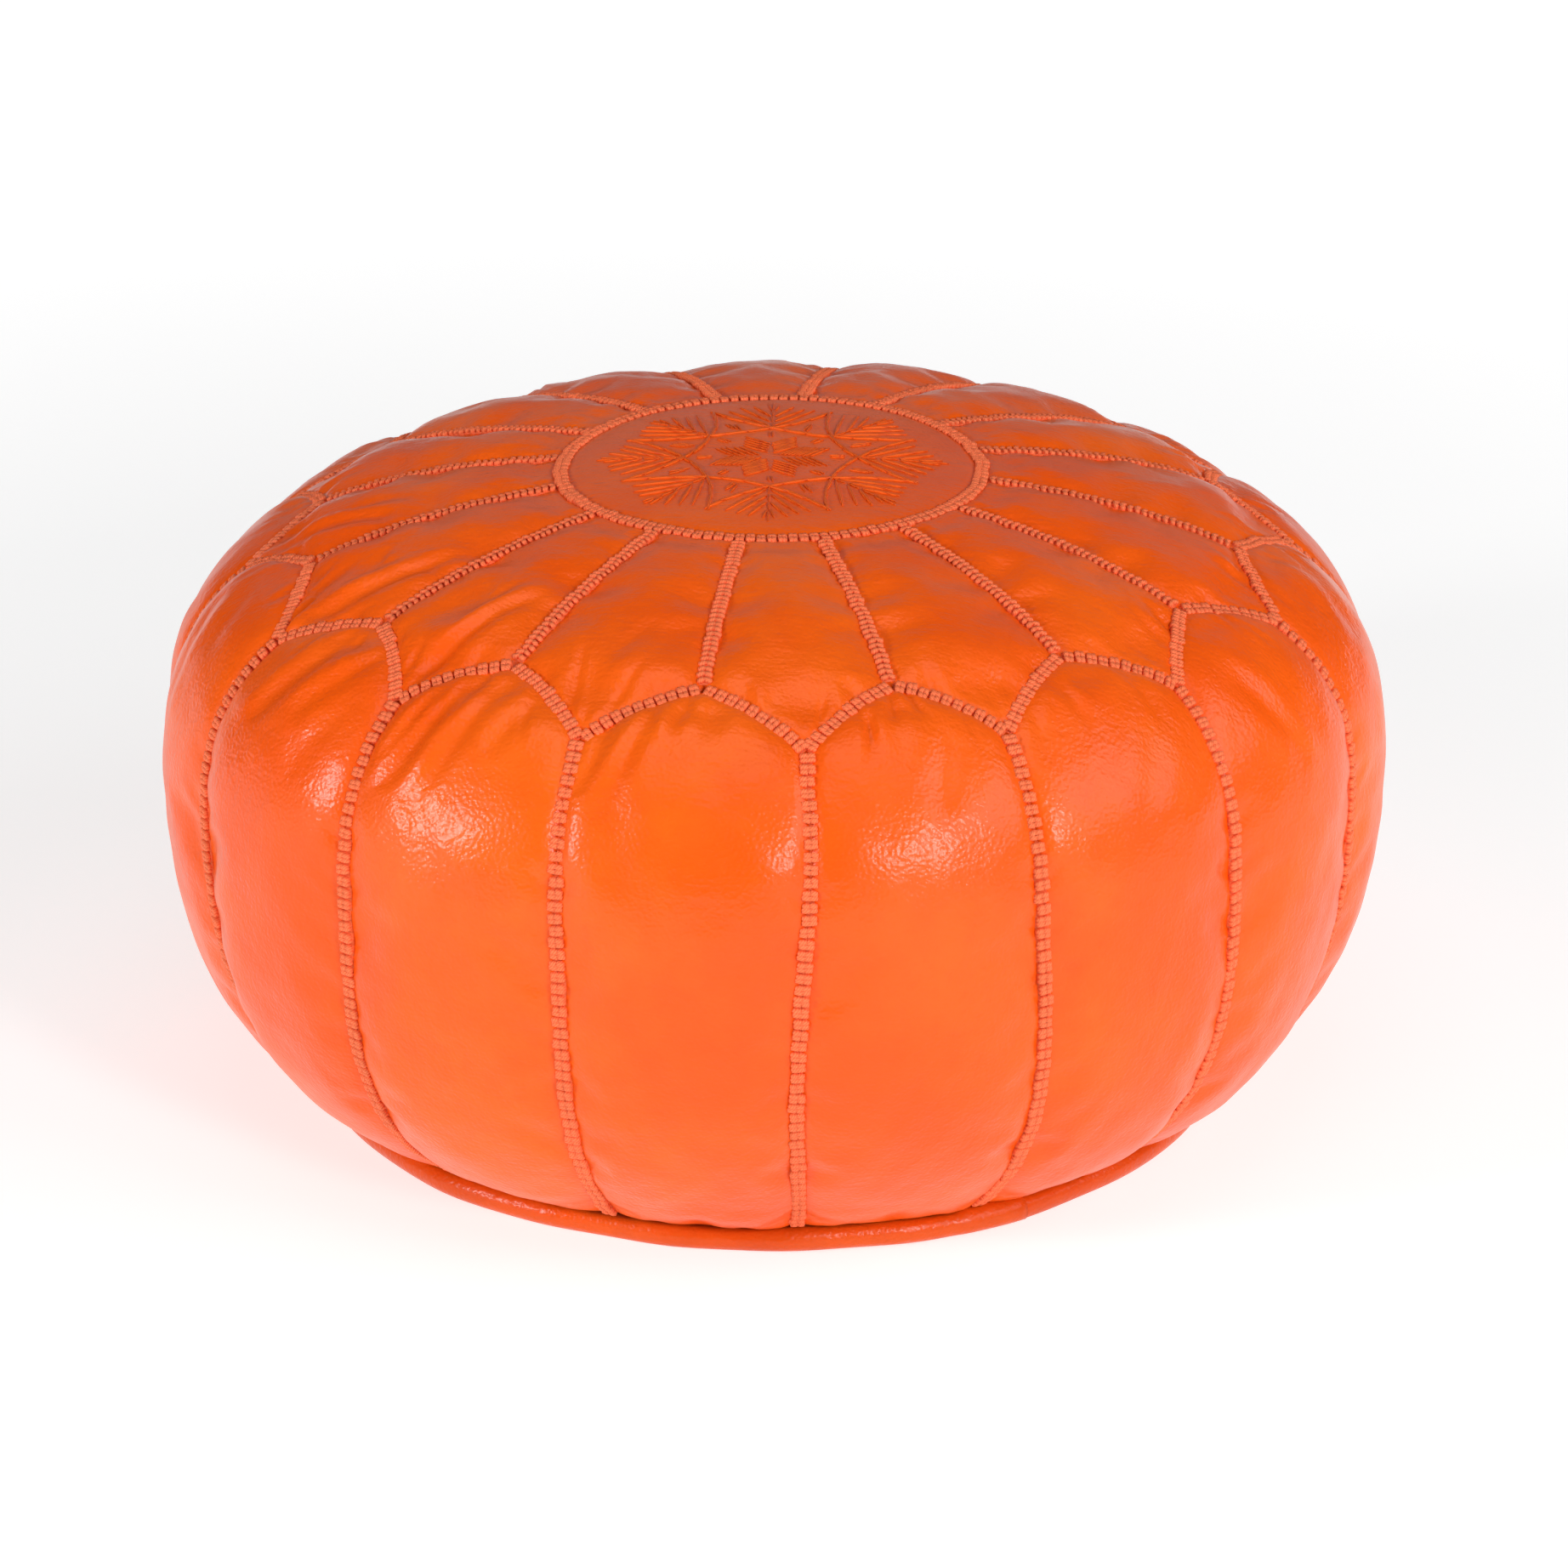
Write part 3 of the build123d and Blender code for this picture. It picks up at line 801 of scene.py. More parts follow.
def spin_net(rows: int, steps: int, start: float) -> bmesh.types.BMesh:
    """Spins an upright row of edges into a closed band of unit radius, whose height counts the rows.

    Args:
        rows: quads up the band.
        steps: quads round it.
        start: the angle of the first column.

    Returns:
        The band.
    """
    net = bmesh.new()
    last = net.verts.new((math.cos(start), math.sin(start), 0))
    for row in range(1, rows + 1):
        following = net.verts.new((math.cos(start), math.sin(start), row))
        net.edges.new((last, following))
        last = following
    spin(net, FULL_TURN, steps)
    return net


def lay_net(net: bmesh.types.BMesh, points: np.ndarray) -> None:
    """Moves a net's vertices to new places and faces it outwards.

    Args:
        net: the net to change.
        points: one point a row.
    """
    for vertex, point in zip(net.verts, points):
        vertex.co = point
    bmesh.ops.remove_doubles(net, verts=net.verts, dist=1e-6)
    face_outwards(net)


def net_spots(net: bmesh.types.BMesh) -> tuple[np.ndarray, np.ndarray]:
    """Angle and row of every vertex of a band that spin_net made."""
    spots = np.array([vertex.co[:] for vertex in net.verts])
    return np.arctan2(spots[:, 1], spots[:, 0]), np.round(spots[:, 2])


def smooth_wave(points: np.ndarray, scale: float, seed: int, waves: int = 9) -> np.ndarray:
    """Smooth, aimless undulation: a sum of waves that run in chance directions.

    Args:
        points: one point a row.
        scale: waves per metre.
        seed: the seed of the directions.
        waves: how many waves are summed.

    Returns:
        Values of about -1 to 1.
    """
    draw = np.random.default_rng(seed)
    total = np.zeros(len(points))
    for _ in range(waves):
        run = draw.normal(size=3)
        run *= FULL_TURN * scale * draw.uniform(0.6, 1.4) / np.linalg.norm(run)
        total += np.sin(points @ run + draw.uniform(0, FULL_TURN))
    return total / math.sqrt(waves)


def stamp(name: str, copies: Iterable[tuple[bpy.types.Mesh, Matrix]]) -> bpy.types.Mesh:
    """Joins many placed copies of small meshes into one.

    Args:
        name: the new mesh's name.
        copies: each copy's template and place.

    Returns:
        The joined mesh.
    """
    joined = bmesh.new()
    for template, place in copies:
        first = len(joined.verts)
        joined.from_mesh(template)
        joined.verts.ensure_lookup_table()
        bmesh.ops.transform(joined, matrix=place, verts=joined.verts[first:])
    return to_mesh(joined, name)


# ----------------------------------------------------------------------------------------------------
# Cover
# ----------------------------------------------------------------------------------------------------


@dataclass(frozen=True)
class Fold:
    """A crease in one panel, as a soft valley between two low ridges.

    Places are in metres in the panel: sideways from the petal seam's meridian and down from the arch.
    """

    start: tuple[float, float]
    end: tuple[float, float]
    depth: float
    width: float

    def height(self, sideways: np.ndarray, down: np.ndarray) -> np.ndarray:
        """Height of the fold at points of its panel.

        Args:
            sideways: places across the panel.
            down: places along it.

        Returns:
            The heights, below 0 in the valley.
        """
        run = np.array(self.end) - np.array(self.start)
        off = np.stack([sideways - self.start[0], down - self.start[1]], axis=1)
        along = np.clip(off @ run / (run @ run), 0, 1)
        away = np.hypot(*(off - along[:, None] * run).T)
        fade = np.sqrt(np.clip(1 - (2 * along - 0.85) ** 2, 0, 1))
        valley = -np.exp(-((away / self.width) ** 2))
        ridge = 0.5 * np.exp(-(((away - 2.0 * self.width) / (1.1 * self.width)) ** 2))
        return self.depth * fade * (valley + ridge)


@dataclass
class Cover:
    """The leather cover between the medallion and the foot, sewn from petals and side panels."""

    form: BodyForm
    seams: SeamPlan
    slump: Slump
    leather: float = 1.6 * MM
    columns: int = 24
    petal_rows: int = 26
    side_rows: int = 58
    pressure: float = 4.0
    most_travel: float = 3.2 * MM
    slack: float = 0.02
    frames: int = 20
    fold_hold: float = 2.5 * MM
    seed: int = 7
    panels: dict[str, bpy.types.Object] = field(default_factory=dict)

    def build(self) -> None:
        """Makes the net, swells it, folds it and cuts it into panels."""
        net = self._make_net()
        self._swell(net)
        whole = self._refine(net)
        self._fold(whole)
        self._cut(whole)

    def _make_net(self) -> bpy.types.Object:
        """Spins a band of rows and lays it on the body, with a groove at every seam.

        Returns:
            The net.
        """
        columns = self.columns * self.seams.panels
        net = spin_net(self.petal_rows + self.side_rows, columns, self.seams.petal_seam_angle)
        angle, row = net_spots(net)
        travel = self.seams.row_travel(angle, row, self.petal_rows, self.side_rows)
        lay_net(net, self.form.place(angle, travel, self.seams.rise(angle, travel)))
        mesh = to_mesh(net, "cover_net")
        set_attribute(mesh, "lay", np.stack([np.cos(angle), np.sin(angle), travel], axis=1))
        self._number_faces(mesh, angle, row)
        piece = add_piece("cover_net", mesh)
        self._mark_sewn(piece, angle, row)
        return piece

    def _number_faces(self, mesh: bpy.types.Mesh, angle: np.ndarray, row: np.ndarray) -> None:
        """Writes each face's panel number: petals first, then side panels.

        Args:
            mesh: the net's mesh.
            angle: each vertex's angle.
            row: each vertex's row.
        """
        corners = np.empty(len(mesh.polygons) * 4, dtype=np.int32)
        mesh.polygons.foreach_get("vertices", corners)
        corners = corners.reshape(-1, 4)
        middle = np.arctan2(np.sin(angle[corners]).mean(1), np.cos(angle[corners]).mean(1))
        turns = (middle - self.seams.petal_seam_angle) / self.seams.pitch
        petal = np.floor(turns) % self.seams.panels
        side = np.round(turns) % self.seams.panels + self.seams.panels
        number = np.where(row[corners].mean(1) < self.petal_rows, petal, side)
        made = mesh.attributes.new("panel", "INT", "FACE")
        made.data.foreach_set("value", number.astype(np.int32))

    def _mark_sewn(self, piece: bpy.types.Object, angle: np.ndarray, row: np.ndarray) -> None:
        """Groups the vertices that the seams hold.

        Args:
            piece: the net.
            angle: each vertex's angle.
            row: each vertex's row.
        """
        across = np.abs(self.seams.across(angle))
        half_step = 0.25 / self.columns
        ends = (row == 0) | (row == self.petal_rows) | (row == self.petal_rows + self.side_rows)
        petal_seam = (row <= self.petal_rows) & (across < half_step)
        side_seam = (row >= self.petal_rows) & (across > 0.5 - half_step)
        sewn = piece.vertex_groups.new(name="sewn")
        sewn.add([int(i) for i in np.flatnonzero(ends | petal_seam | side_seam)], 1.0, "REPLACE")

    def _swell(self, net: bpy.types.Object) -> None:
        """Lets the filling press the slack leather out between its seams, as pinned cloth under pressure.

        Args:
            net: the net, which is changed.
        """
        before = read_points(net.data)
        cloth = net.modifiers.new("Cloth", "CLOTH")
        settings = {
            "vertex_group_mass": "sewn",
            "quality": 6,
            "mass": 0.35,
            "tension_stiffness": 25,
            "compression_stiffness": 25,
            "shear_stiffness": 8,
            "bending_stiffness": 4.0,
            "use_pressure": True,
            "uniform_pressure_force": self.pressure,
            "shrink_min": -self.slack,
        }
        for key, value in settings.items():
            setattr(cloth.settings, key, value)
        cloth.settings.effector_weights.gravity = 0.0
        cloth.collision_settings.use_collision = False
        scene = bpy.context.scene
        for number in range(1, self.frames + 1):
            scene.frame_set(number)
        after = read_points(net.evaluated_get(bpy.context.evaluated_depsgraph_get()).data)
        net.modifiers.remove(cloth)
        scene.frame_set(1)
        moved = after - before
        size = np.linalg.norm(moved, axis=1, keepdims=True)
        log.info("cover swells by up to %.1f mm, %.1f mm in the mean", size.max() / MM, size.mean() / MM)
        capped = self.most_travel * np.tanh(size / self.most_travel)
        write_points(net.data, before + moved * capped / np.maximum(size, 1e-9))

    def _refine(self, net: bpy.types.Object) -> bpy.types.Object:
        """Subdivides the net once.

        Args:
            net: the net, which is removed.

        Returns:
            The fine cover.
        """
        finer = net.modifiers.new("Finer", "SUBSURF")
        finer.levels = finer.render_levels = 1
        finer.boundary_smooth = "PRESERVE_CORNERS"
        mesh = bpy.data.meshes.new_from_object(net.evaluated_get(bpy.context.evaluated_depsgraph_get()))
        bpy.data.objects.remove(net)
        return add_piece("cover", mesh)

    def _fold(self, whole: bpy.types.Object) -> None:
        """Presses folds and puckers into every panel, and stores what the finish reads, including the
        closeness to the seams that darkens the leather as pooled dye and as painted shade.

        Args:
            whole: the fine cover, which is changed.
        """
        mesh = whole.data
        lay = np.empty(len(mesh.vertices) * 3, dtype=np.float32)
        mesh.attributes["lay"].data.foreach_get("vector", lay)
        lay = lay.reshape(-1, 3).astype(float)
        angle, travel = np.arctan2(lay[:, 1], lay[:, 0]), lay[:, 2]
        panels = self.seams.panels
        turns = (angle - self.seams.petal_seam_angle) / self.seams.pitch
        radius = self.form.radius_at(travel)
        down = travel - self.seams.arch_travel(angle)
        height = np.zeros(len(travel))
        draw = random.Random(self.seed)
        for number in range(panels):
            for part in Part:
                middle = number + (0.5 if part is Part.PETAL else 0.0)
                sideways = (turns - middle + panels / 2) % panels - panels / 2
                inside = (np.abs(sideways) < 0.5) & ((down < 0) == (part is Part.PETAL))
                chosen = np.flatnonzero(inside)
                spots = sideways[chosen] * self.seams.pitch * radius[chosen]
                for crease in (*self._puckers(part, draw), *HAND_FOLDS.get((part, number), ())):
                    height[chosen] += crease.height(spots, down[chosen])
        distance = self.seams.seam_distance(angle, travel)
        hold = 1 - np.exp(-np.clip(distance, 0, None) / self.fold_hold)
        points = read_points(mesh)
        ripple = 0.5 * MM * smooth_wave(points, 16, 3) + 0.18 * MM * smooth_wave(points, 48, 8)
        points += self.form.normal(angle, travel) * ((height + ripple) * hold)[:, None]
        write_points(mesh, self.slump.settle(points))
        # Closeness to the seams, which the finish turns into pooled dye and painted shade in the seam
        # grooves.
        set_attribute(mesh, "seam", np.exp(-np.clip(distance, 0, None) / self.seams.shade))

    def _puckers(self, part: Part, draw: random.Random) -> list[Fold]:
        """Chance folds of one panel: short puckers off its seams, and a long soft fold or two.

        Args:
            part: the kind of panel.
            draw: the source of chance.

        Returns:
            The folds.
        """
        folds = []
        for _ in range(draw.randint(3, 5)):
            sideways = draw.uniform(-26, 26)
            slant = draw.uniform(-10, 10)
            reach = draw.uniform(14, 34)
            depth, width = draw.uniform(0.35, 0.8), draw.uniform(1.6, 2.8)
            if part is Part.SIDE:
                start, end = (sideways, 2.5), (sideways + slant, 2.5 + reach)
            else:
                start, end = (sideways, -2.5), (sideways * 0.8 + slant, -2.5 - reach)
            folds.append(fold(start, end, depth, width))
        for _ in range(draw.randint(1, 2)):
            side = draw.choice((-1, 1))
            reach = draw.uniform(35, 70)
            top = draw.uniform(8, 40)
            sideways = draw.uniform(12, 34) * side
            down, share = (1, 1.0) if part is Part.SIDE else (-1, 0.7)
            start = (sideways, down * top)
            end = (sideways - side * draw.uniform(12, 30), down * (top + reach * share))
            folds.append(fold(start, end, draw.uniform(0.5, 1.1), draw.uniform(4, 7)))
        return folds

    def _cut(self, whole: bpy.types.Object) -> None:
        """Cuts the cover into its panels along the seams and gives each its leather's thickness.

        Args:
            whole: the fine cover, which is used up.
        """
        mesh = whole.data
        numbers = np.empty(len(mesh.polygons), dtype=np.int32)
        mesh.attributes["panel"].data.foreach_get("value", numbers)
        mesh.polygons.foreach_set("material_index", numbers)
        for number in range(2 * self.seams.panels):
            mesh.materials.append(bpy.data.materials.new(f"panel_mark_{number}"))
        for chosen in bpy.context.selected_objects:
            chosen.select_set(False)
        bpy.context.view_layer.objects.active = whole
        whole.select_set(True)
        bpy.ops.object.mode_set(mode="EDIT")
        bpy.ops.mesh.select_all(action="SELECT")
        bpy.ops.mesh.separate(type="MATERIAL")
        bpy.ops.object.mode_set(mode="OBJECT")
        draw = random.Random(self.seed + 1)
        for piece in list(bpy.context.selected_objects):
            number = piece.data.attributes["panel"].data[0].value
            part = Part.PETAL if number < self.seams.panels else Part.SIDE
            name = f"{part.value}_{number % self.seams.panels + 1:02d}"
            piece.name = piece.data.name = f"leather_{name}"
            self.panels[name] = piece
        for name, piece in sorted(self.panels.items()):
            set_attribute(piece.data, "hide", np.full(len(piece.data.vertices), draw.random()))
            for spent in ("panel", "lay"):
                piece.data.attributes.remove(piece.data.attributes[spent])
            wall = piece.modifiers.new("Leather", "SOLIDIFY")
            wall.thickness = self.leather
            wall.offset = -1.0
            wall.use_even_offset = False
        for number in range(2 * self.seams.panels):
            bpy.data.materials.remove(bpy.data.materials[f"panel_mark_{number}"])

    def dress(self, wardrobe: Wardrobe) -> None:
        """Finishes the panels and hands them to the frame.

        Args:
            wardrobe: the finishes.
        """
        for name, piece in sorted(self.panels.items()):
            wardrobe.dress(piece, Slot.LEATHER)
            hand_over(piece, name)


def fold(start: tuple[float, float], end: tuple[float, float], depth: float, width: float) -> Fold:
    """A fold given in millimetres."""
    return Fold((start[0] * MM, start[1] * MM), (end[0] * MM, end[1] * MM), depth * MM, width * MM)


HAND_FOLDS: dict[tuple[Part, int], tuple[Fold, ...]] = {
    (Part.SIDE, 0): (
        fold((-3, 2), (-9, 26), 1.1, 2.4),
        fold((-30, -2), (-42, 34), 2.0, 5.0),
        fold((-16, 2), (-30, 46), 1.4, 4.0),
        fold((6, 3), (4, 30), 0.7, 2.2),
    ),
    (Part.SIDE, 1): (
        fold((-2, 2), (-4, 22), 1.1, 1.8),
        fold((4, 2), (9, 16), 1.2, 1.6),
        fold((-14, 10), (-20, 34), 0.6, 2.6),
        fold((16, 26), (6, 62), 0.7, 3.4),
    ),
    (Part.SIDE, 15): (
        fold((-6, 4), (-34, 58), 2.4, 6.5),
        fold((8, 6), (-14, 66), 1.8, 5.0),
        fold((22, 4), (8, 44), 1.4, 4.0),
        fold((-20, 8), (-38, 40), 1.4, 3.6),
    ),
    (Part.SIDE, 14): (
        fold((4, 6), (-22, 60), 2.0, 6.0),
        fold((20, 10), (2, 58), 1.4, 4.4),
    ),
    (Part.PETAL, 15): (fold((-12, -16), (8, -62), 0.9, 6.0),),
    (Part.PETAL, 14): (
        fold((-20, -20), (6, -70), 2.2, 6.0),
        fold((2, -12), (16, -54), 1.6, 5.0),
    ),
    (Part.PETAL, 13): (
        fold((-18, -10), (2, -60), 2.4, 6.0),
        fold((10, -14), (20, -64), 1.6, 4.6),
        fold((-4, -4), (-10, -22), 1.2, 2.4),
    ),
    (Part.PETAL, 12): (
        fold((-10, -12), (10, -70), 1.8, 5.0),
        fold((12, -10), (20, -50), 1.2, 4.0),
    ),
}


@dataclass
class Medallion:
    """The round leather piece in the middle of the top, nearly flat, whose border dips to the ring."""

    form: BodyForm
    seams: SeamPlan
    slump: Slump
    rows: int = 30
    steps: int = 192
    swell: float = 1.2 * MM
    border: float = 18 * MM
    leather: float = 1.6 * MM

    def surface(self, points: np.ndarray, lift: float = 0.0) -> np.ndarray:
        """Points of the medallion's face over places in plan.

        Args:
            points: x and y, one place a row.
            lift: height above the face.

        Returns:
            One point a row.
        """
        angle = np.arctan2(points[:, 1], points[:, 0])
        travel = self.form.travel_at_radius(np.hypot(points[:, 0], points[:, 1]))
        to_ring = np.clip(self.seams.ring_travel - travel, 0, None)
        share = 1 - np.exp(-to_ring / self.border)
        rise = self.swell * share - self.seams.seam_depth + self.seams.groove
        rise -= self.seams.groove * np.exp(-to_ring / self.seams.shoulder)
        smooth = self.form.place(angle, travel, rise + lift)
        ripple = 0.35 * MM * smooth_wave(smooth, 18, 5) * share
        return self.slump.settle(smooth + self.form.normal(angle, travel) * ripple[:, None])

    def build(self, wardrobe: Wardrobe) -> None:
        """Makes the medallion and hands it to the frame.

        Args:
            wardrobe: the finishes.
        """
        net = spin_net(self.rows, self.steps, 0.0)
        angle, row = net_spots(net)
        radius = self.seams.ring_radius * row / self.rows
        lay_net(net, self.surface(np.stack([radius * np.cos(angle), radius * np.sin(angle)], axis=1)))
        mesh = to_mesh(net, "leather_medallion")
        points = read_points(mesh)
        to_ring = self.seams.ring_radius - np.hypot(points[:, 0], points[:, 1])
        # Closeness to the ring, which the finish turns into pooled dye and painted shade in the ring's
        # groove.
        set_attribute(mesh, "seam", np.exp(-np.clip(to_ring, 0, None) / self.seams.shade))
        set_attribute(mesh, "hide", np.full(len(points), 0.6))
        piece = add_piece("leather_medallion", mesh)
        wall = piece.modifiers.new("Leather", "SOLIDIFY")
        wall.thickness, wall.offset = self.leather, -1.0
        wardrobe.dress(piece, Slot.LEATHER)
        hand_over(piece, "medallion")


@dataclass
class Wadding:
    """The cotton and rag filling, pressed into the cover from inside."""

    form: BodyForm
    seams: SeamPlan
    slump: Slump
    columns: int = 8
    crown_rows: int = 8
    petal_rows: int = 12
    side_rows: int = 28
    under_leather: float = 5.0 * MM

    def build(self, wardrobe: Wardrobe) -> None:
        """Makes the filling and hands it to the frame.

        Args:
            wardrobe: the finishes.
        """
        rows = self.crown_rows + self.petal_rows + self.side_rows
        net = spin_net(rows, self.columns * self.seams.panels, self.seams.petal_seam_angle)
        angle, row = net_spots(net)
        in_crown = row < self.crown_rows
        below = self.seams.row_travel(angle, row - self.crown_rows, self.petal_rows, self.side_rows)
        travel = np.where(in_crown, self.seams.ring_travel * row / self.crown_rows, below)
        rise = np.where(in_crown, -self.seams.seam_depth, self.seams.rise(angle, travel)) - self.under_leather
        lay_net(net, self.slump.settle(self.form.place(angle, travel, rise)))
        bmesh.ops.holes_fill(net, edges=[edge for edge in net.edges if edge.is_boundary])
        bmesh.ops.recalc_face_normals(net, faces=net.faces)
        piece = add_piece("wadding", to_mesh(net, "wadding"))
        wardrobe.dress(piece, Slot.WADDING)
        hand_over(piece, "filling")


# ----------------------------------------------------------------------------------------------------
# Thread work
# ----------------------------------------------------------------------------------------------------


def thread_lump(made: bmesh.types.BMesh, place: Matrix, roundness: float = 0.6) -> None:
    """Adds one rounded turn of thread: a cube, divided once and drawn towards a ball.

    Args:
        made: the bmesh to add to.
        place: its place, with its half sizes as the scale.
        roundness: 0 keeps the cube, 1 makes a ball.
    """
    strand = made.verts.layers.float_vector.get("strand") or made.verts.layers.float_vector.new("strand")
    first = len(made.verts)
    cube = bmesh.ops.create_cube(made, size=2.0)["verts"]
    edges = {edge for vertex in cube for edge in vertex.link_edges}
    bmesh.ops.subdivide_edges(made, edges=list(edges), cuts=1, use_grid_fill=True)
    made.verts.ensure_lookup_table()
    lump = made.verts[first:]
    for vertex in lump:
        vertex.co = vertex.co.lerp(vertex.co.normalized() * 1.12, roundness)
        vertex[strand] = vertex.co
    bmesh.ops.transform(made, matrix=place, verts=lump)


def shaped(centre: tuple[float, float, float], half: tuple[float, float, float], turn: float = 0.0) -> Matrix:
    """Place of a small shape.

    Args:
        centre: its middle.
        half: its half sizes.
        turn: its angle about Z.

    Returns:
        The matrix.
    """
    return Matrix.Translation(centre) @ Matrix.Rotation(turn, 4, "Z") @ Matrix.Diagonal((*half, 1.0))


class Knotting(Enum):
    """How a seam is braided."""

    CHAIN = "chain"
    HERRINGBONE = "herringbone"


@dataclass
class Braid:
    """A hand-knotted braid that closes and covers seams."""

    name: str
    node: str
    knotting: Knotting
    pitch: float
    width: float
    height: float
    seed: int
    gauges: int = 5

    def beads(self) -> list[bpy.types.Mesh]:
        """Makes a few slightly different beads, each on its own dark block of painted shade for the braid's
        gaps.

        Returns:
            The beads, with their width along X, the seam along Y and their height along Z.
        """
        draw = random.Random(self.seed)
        return [self._bead(draw) for _ in range(self.gauges)]

    def _bead(self, draw: random.Random) -> bpy.types.Mesh:
        """Makes one bead.

        Args:
            draw: the source of chance.

        Returns:
            The bead.
        """
        bead = bmesh.new()
        for x, y, turn in self._turns():
            sizes = tuple(size * draw.uniform(0.92, 1.08) for size in self._half_turn())
            centre = (x + draw.gauss(0, 0.08 * MM), y + draw.gauss(0, 0.08 * MM), 0.42 * self.height)
            thread_lump(bead, shaped(centre, sizes, turn + draw.gauss(0, 0.06)))
        turned = set(bead.faces)
        # A dark block under the turns of thread: painted shade that shows in the braid's gaps.
        shade_bed = shaped((0, 0, 0), (0.47 * self.width, 0.53 * self.pitch, 0.20 * self.height))
        bmesh.ops.create_cube(bead, size=2.0, matrix=shade_bed)
        for face in set(bead.faces) - turned:
            face.material_index = 1
        bmesh.ops.recalc_face_normals(bead, faces=bead.faces)
        return to_mesh(bead, f"{self.name}_bead")

    def _turns(self) -> list[tuple[float, float, float]]:
        """Lays out the turns of thread in a bead.

        Returns:
            Each turn's middle, across and along the seam, and its angle.
        """
        if self.knotting is Knotting.HERRINGBONE:
            return [(side * 0.23 * self.width, 0.0, side * 0.55) for side in (-1, 1)]
        corners = [(across, along) for across in (-1, 1) for along in (-1, 1)]
        return [(x * 0.225 * self.width, y * 0.19 * self.pitch, -x * y * 0.12) for x, y in corners]

    def _half_turn(self) -> tuple[float, float, float]:
        """Sizes one turn of thread.

        Returns:
            Its half sizes across, along and off the seam.
        """
        if self.knotting is Knotting.HERRINGBONE:
            return 0.29 * self.width, 0.33 * self.pitch, 0.5 * self.height
        return 0.27 * self.width, 0.23 * self.pitch, 0.5 * self.height


BRAIDS = (
    Braid(
        name="braid_ring",
        node="medallion_braid",
        knotting=Knotting.CHAIN,
        pitch=4.4 * MM,
        width=6.2 * MM,
        height=2.5 * MM,
        seed=11,
    ),
    Braid(
        name="braid_petals",
        node="petal_seam_braids",
        knotting=Knotting.HERRINGBONE,
        pitch=3.1 * MM,
        width=6.0 * MM,
        height=2.4 * MM,
        seed=12,
    ),
    Braid(
        name="braid_arches",
        node="arch_seam_braids",
        knotting=Knotting.CHAIN,
        pitch=4.8 * MM,
        width=6.2 * MM,
        height=2.6 * MM,
        seed=13,
    ),
    Braid(
        name="braid_sides",
        node="side_seam_braids",
        knotting=Knotting.CHAIN,
        pitch=5.0 * MM,
        width=6.4 * MM,
        height=2.7 * MM,
        seed=14,
    ),
)


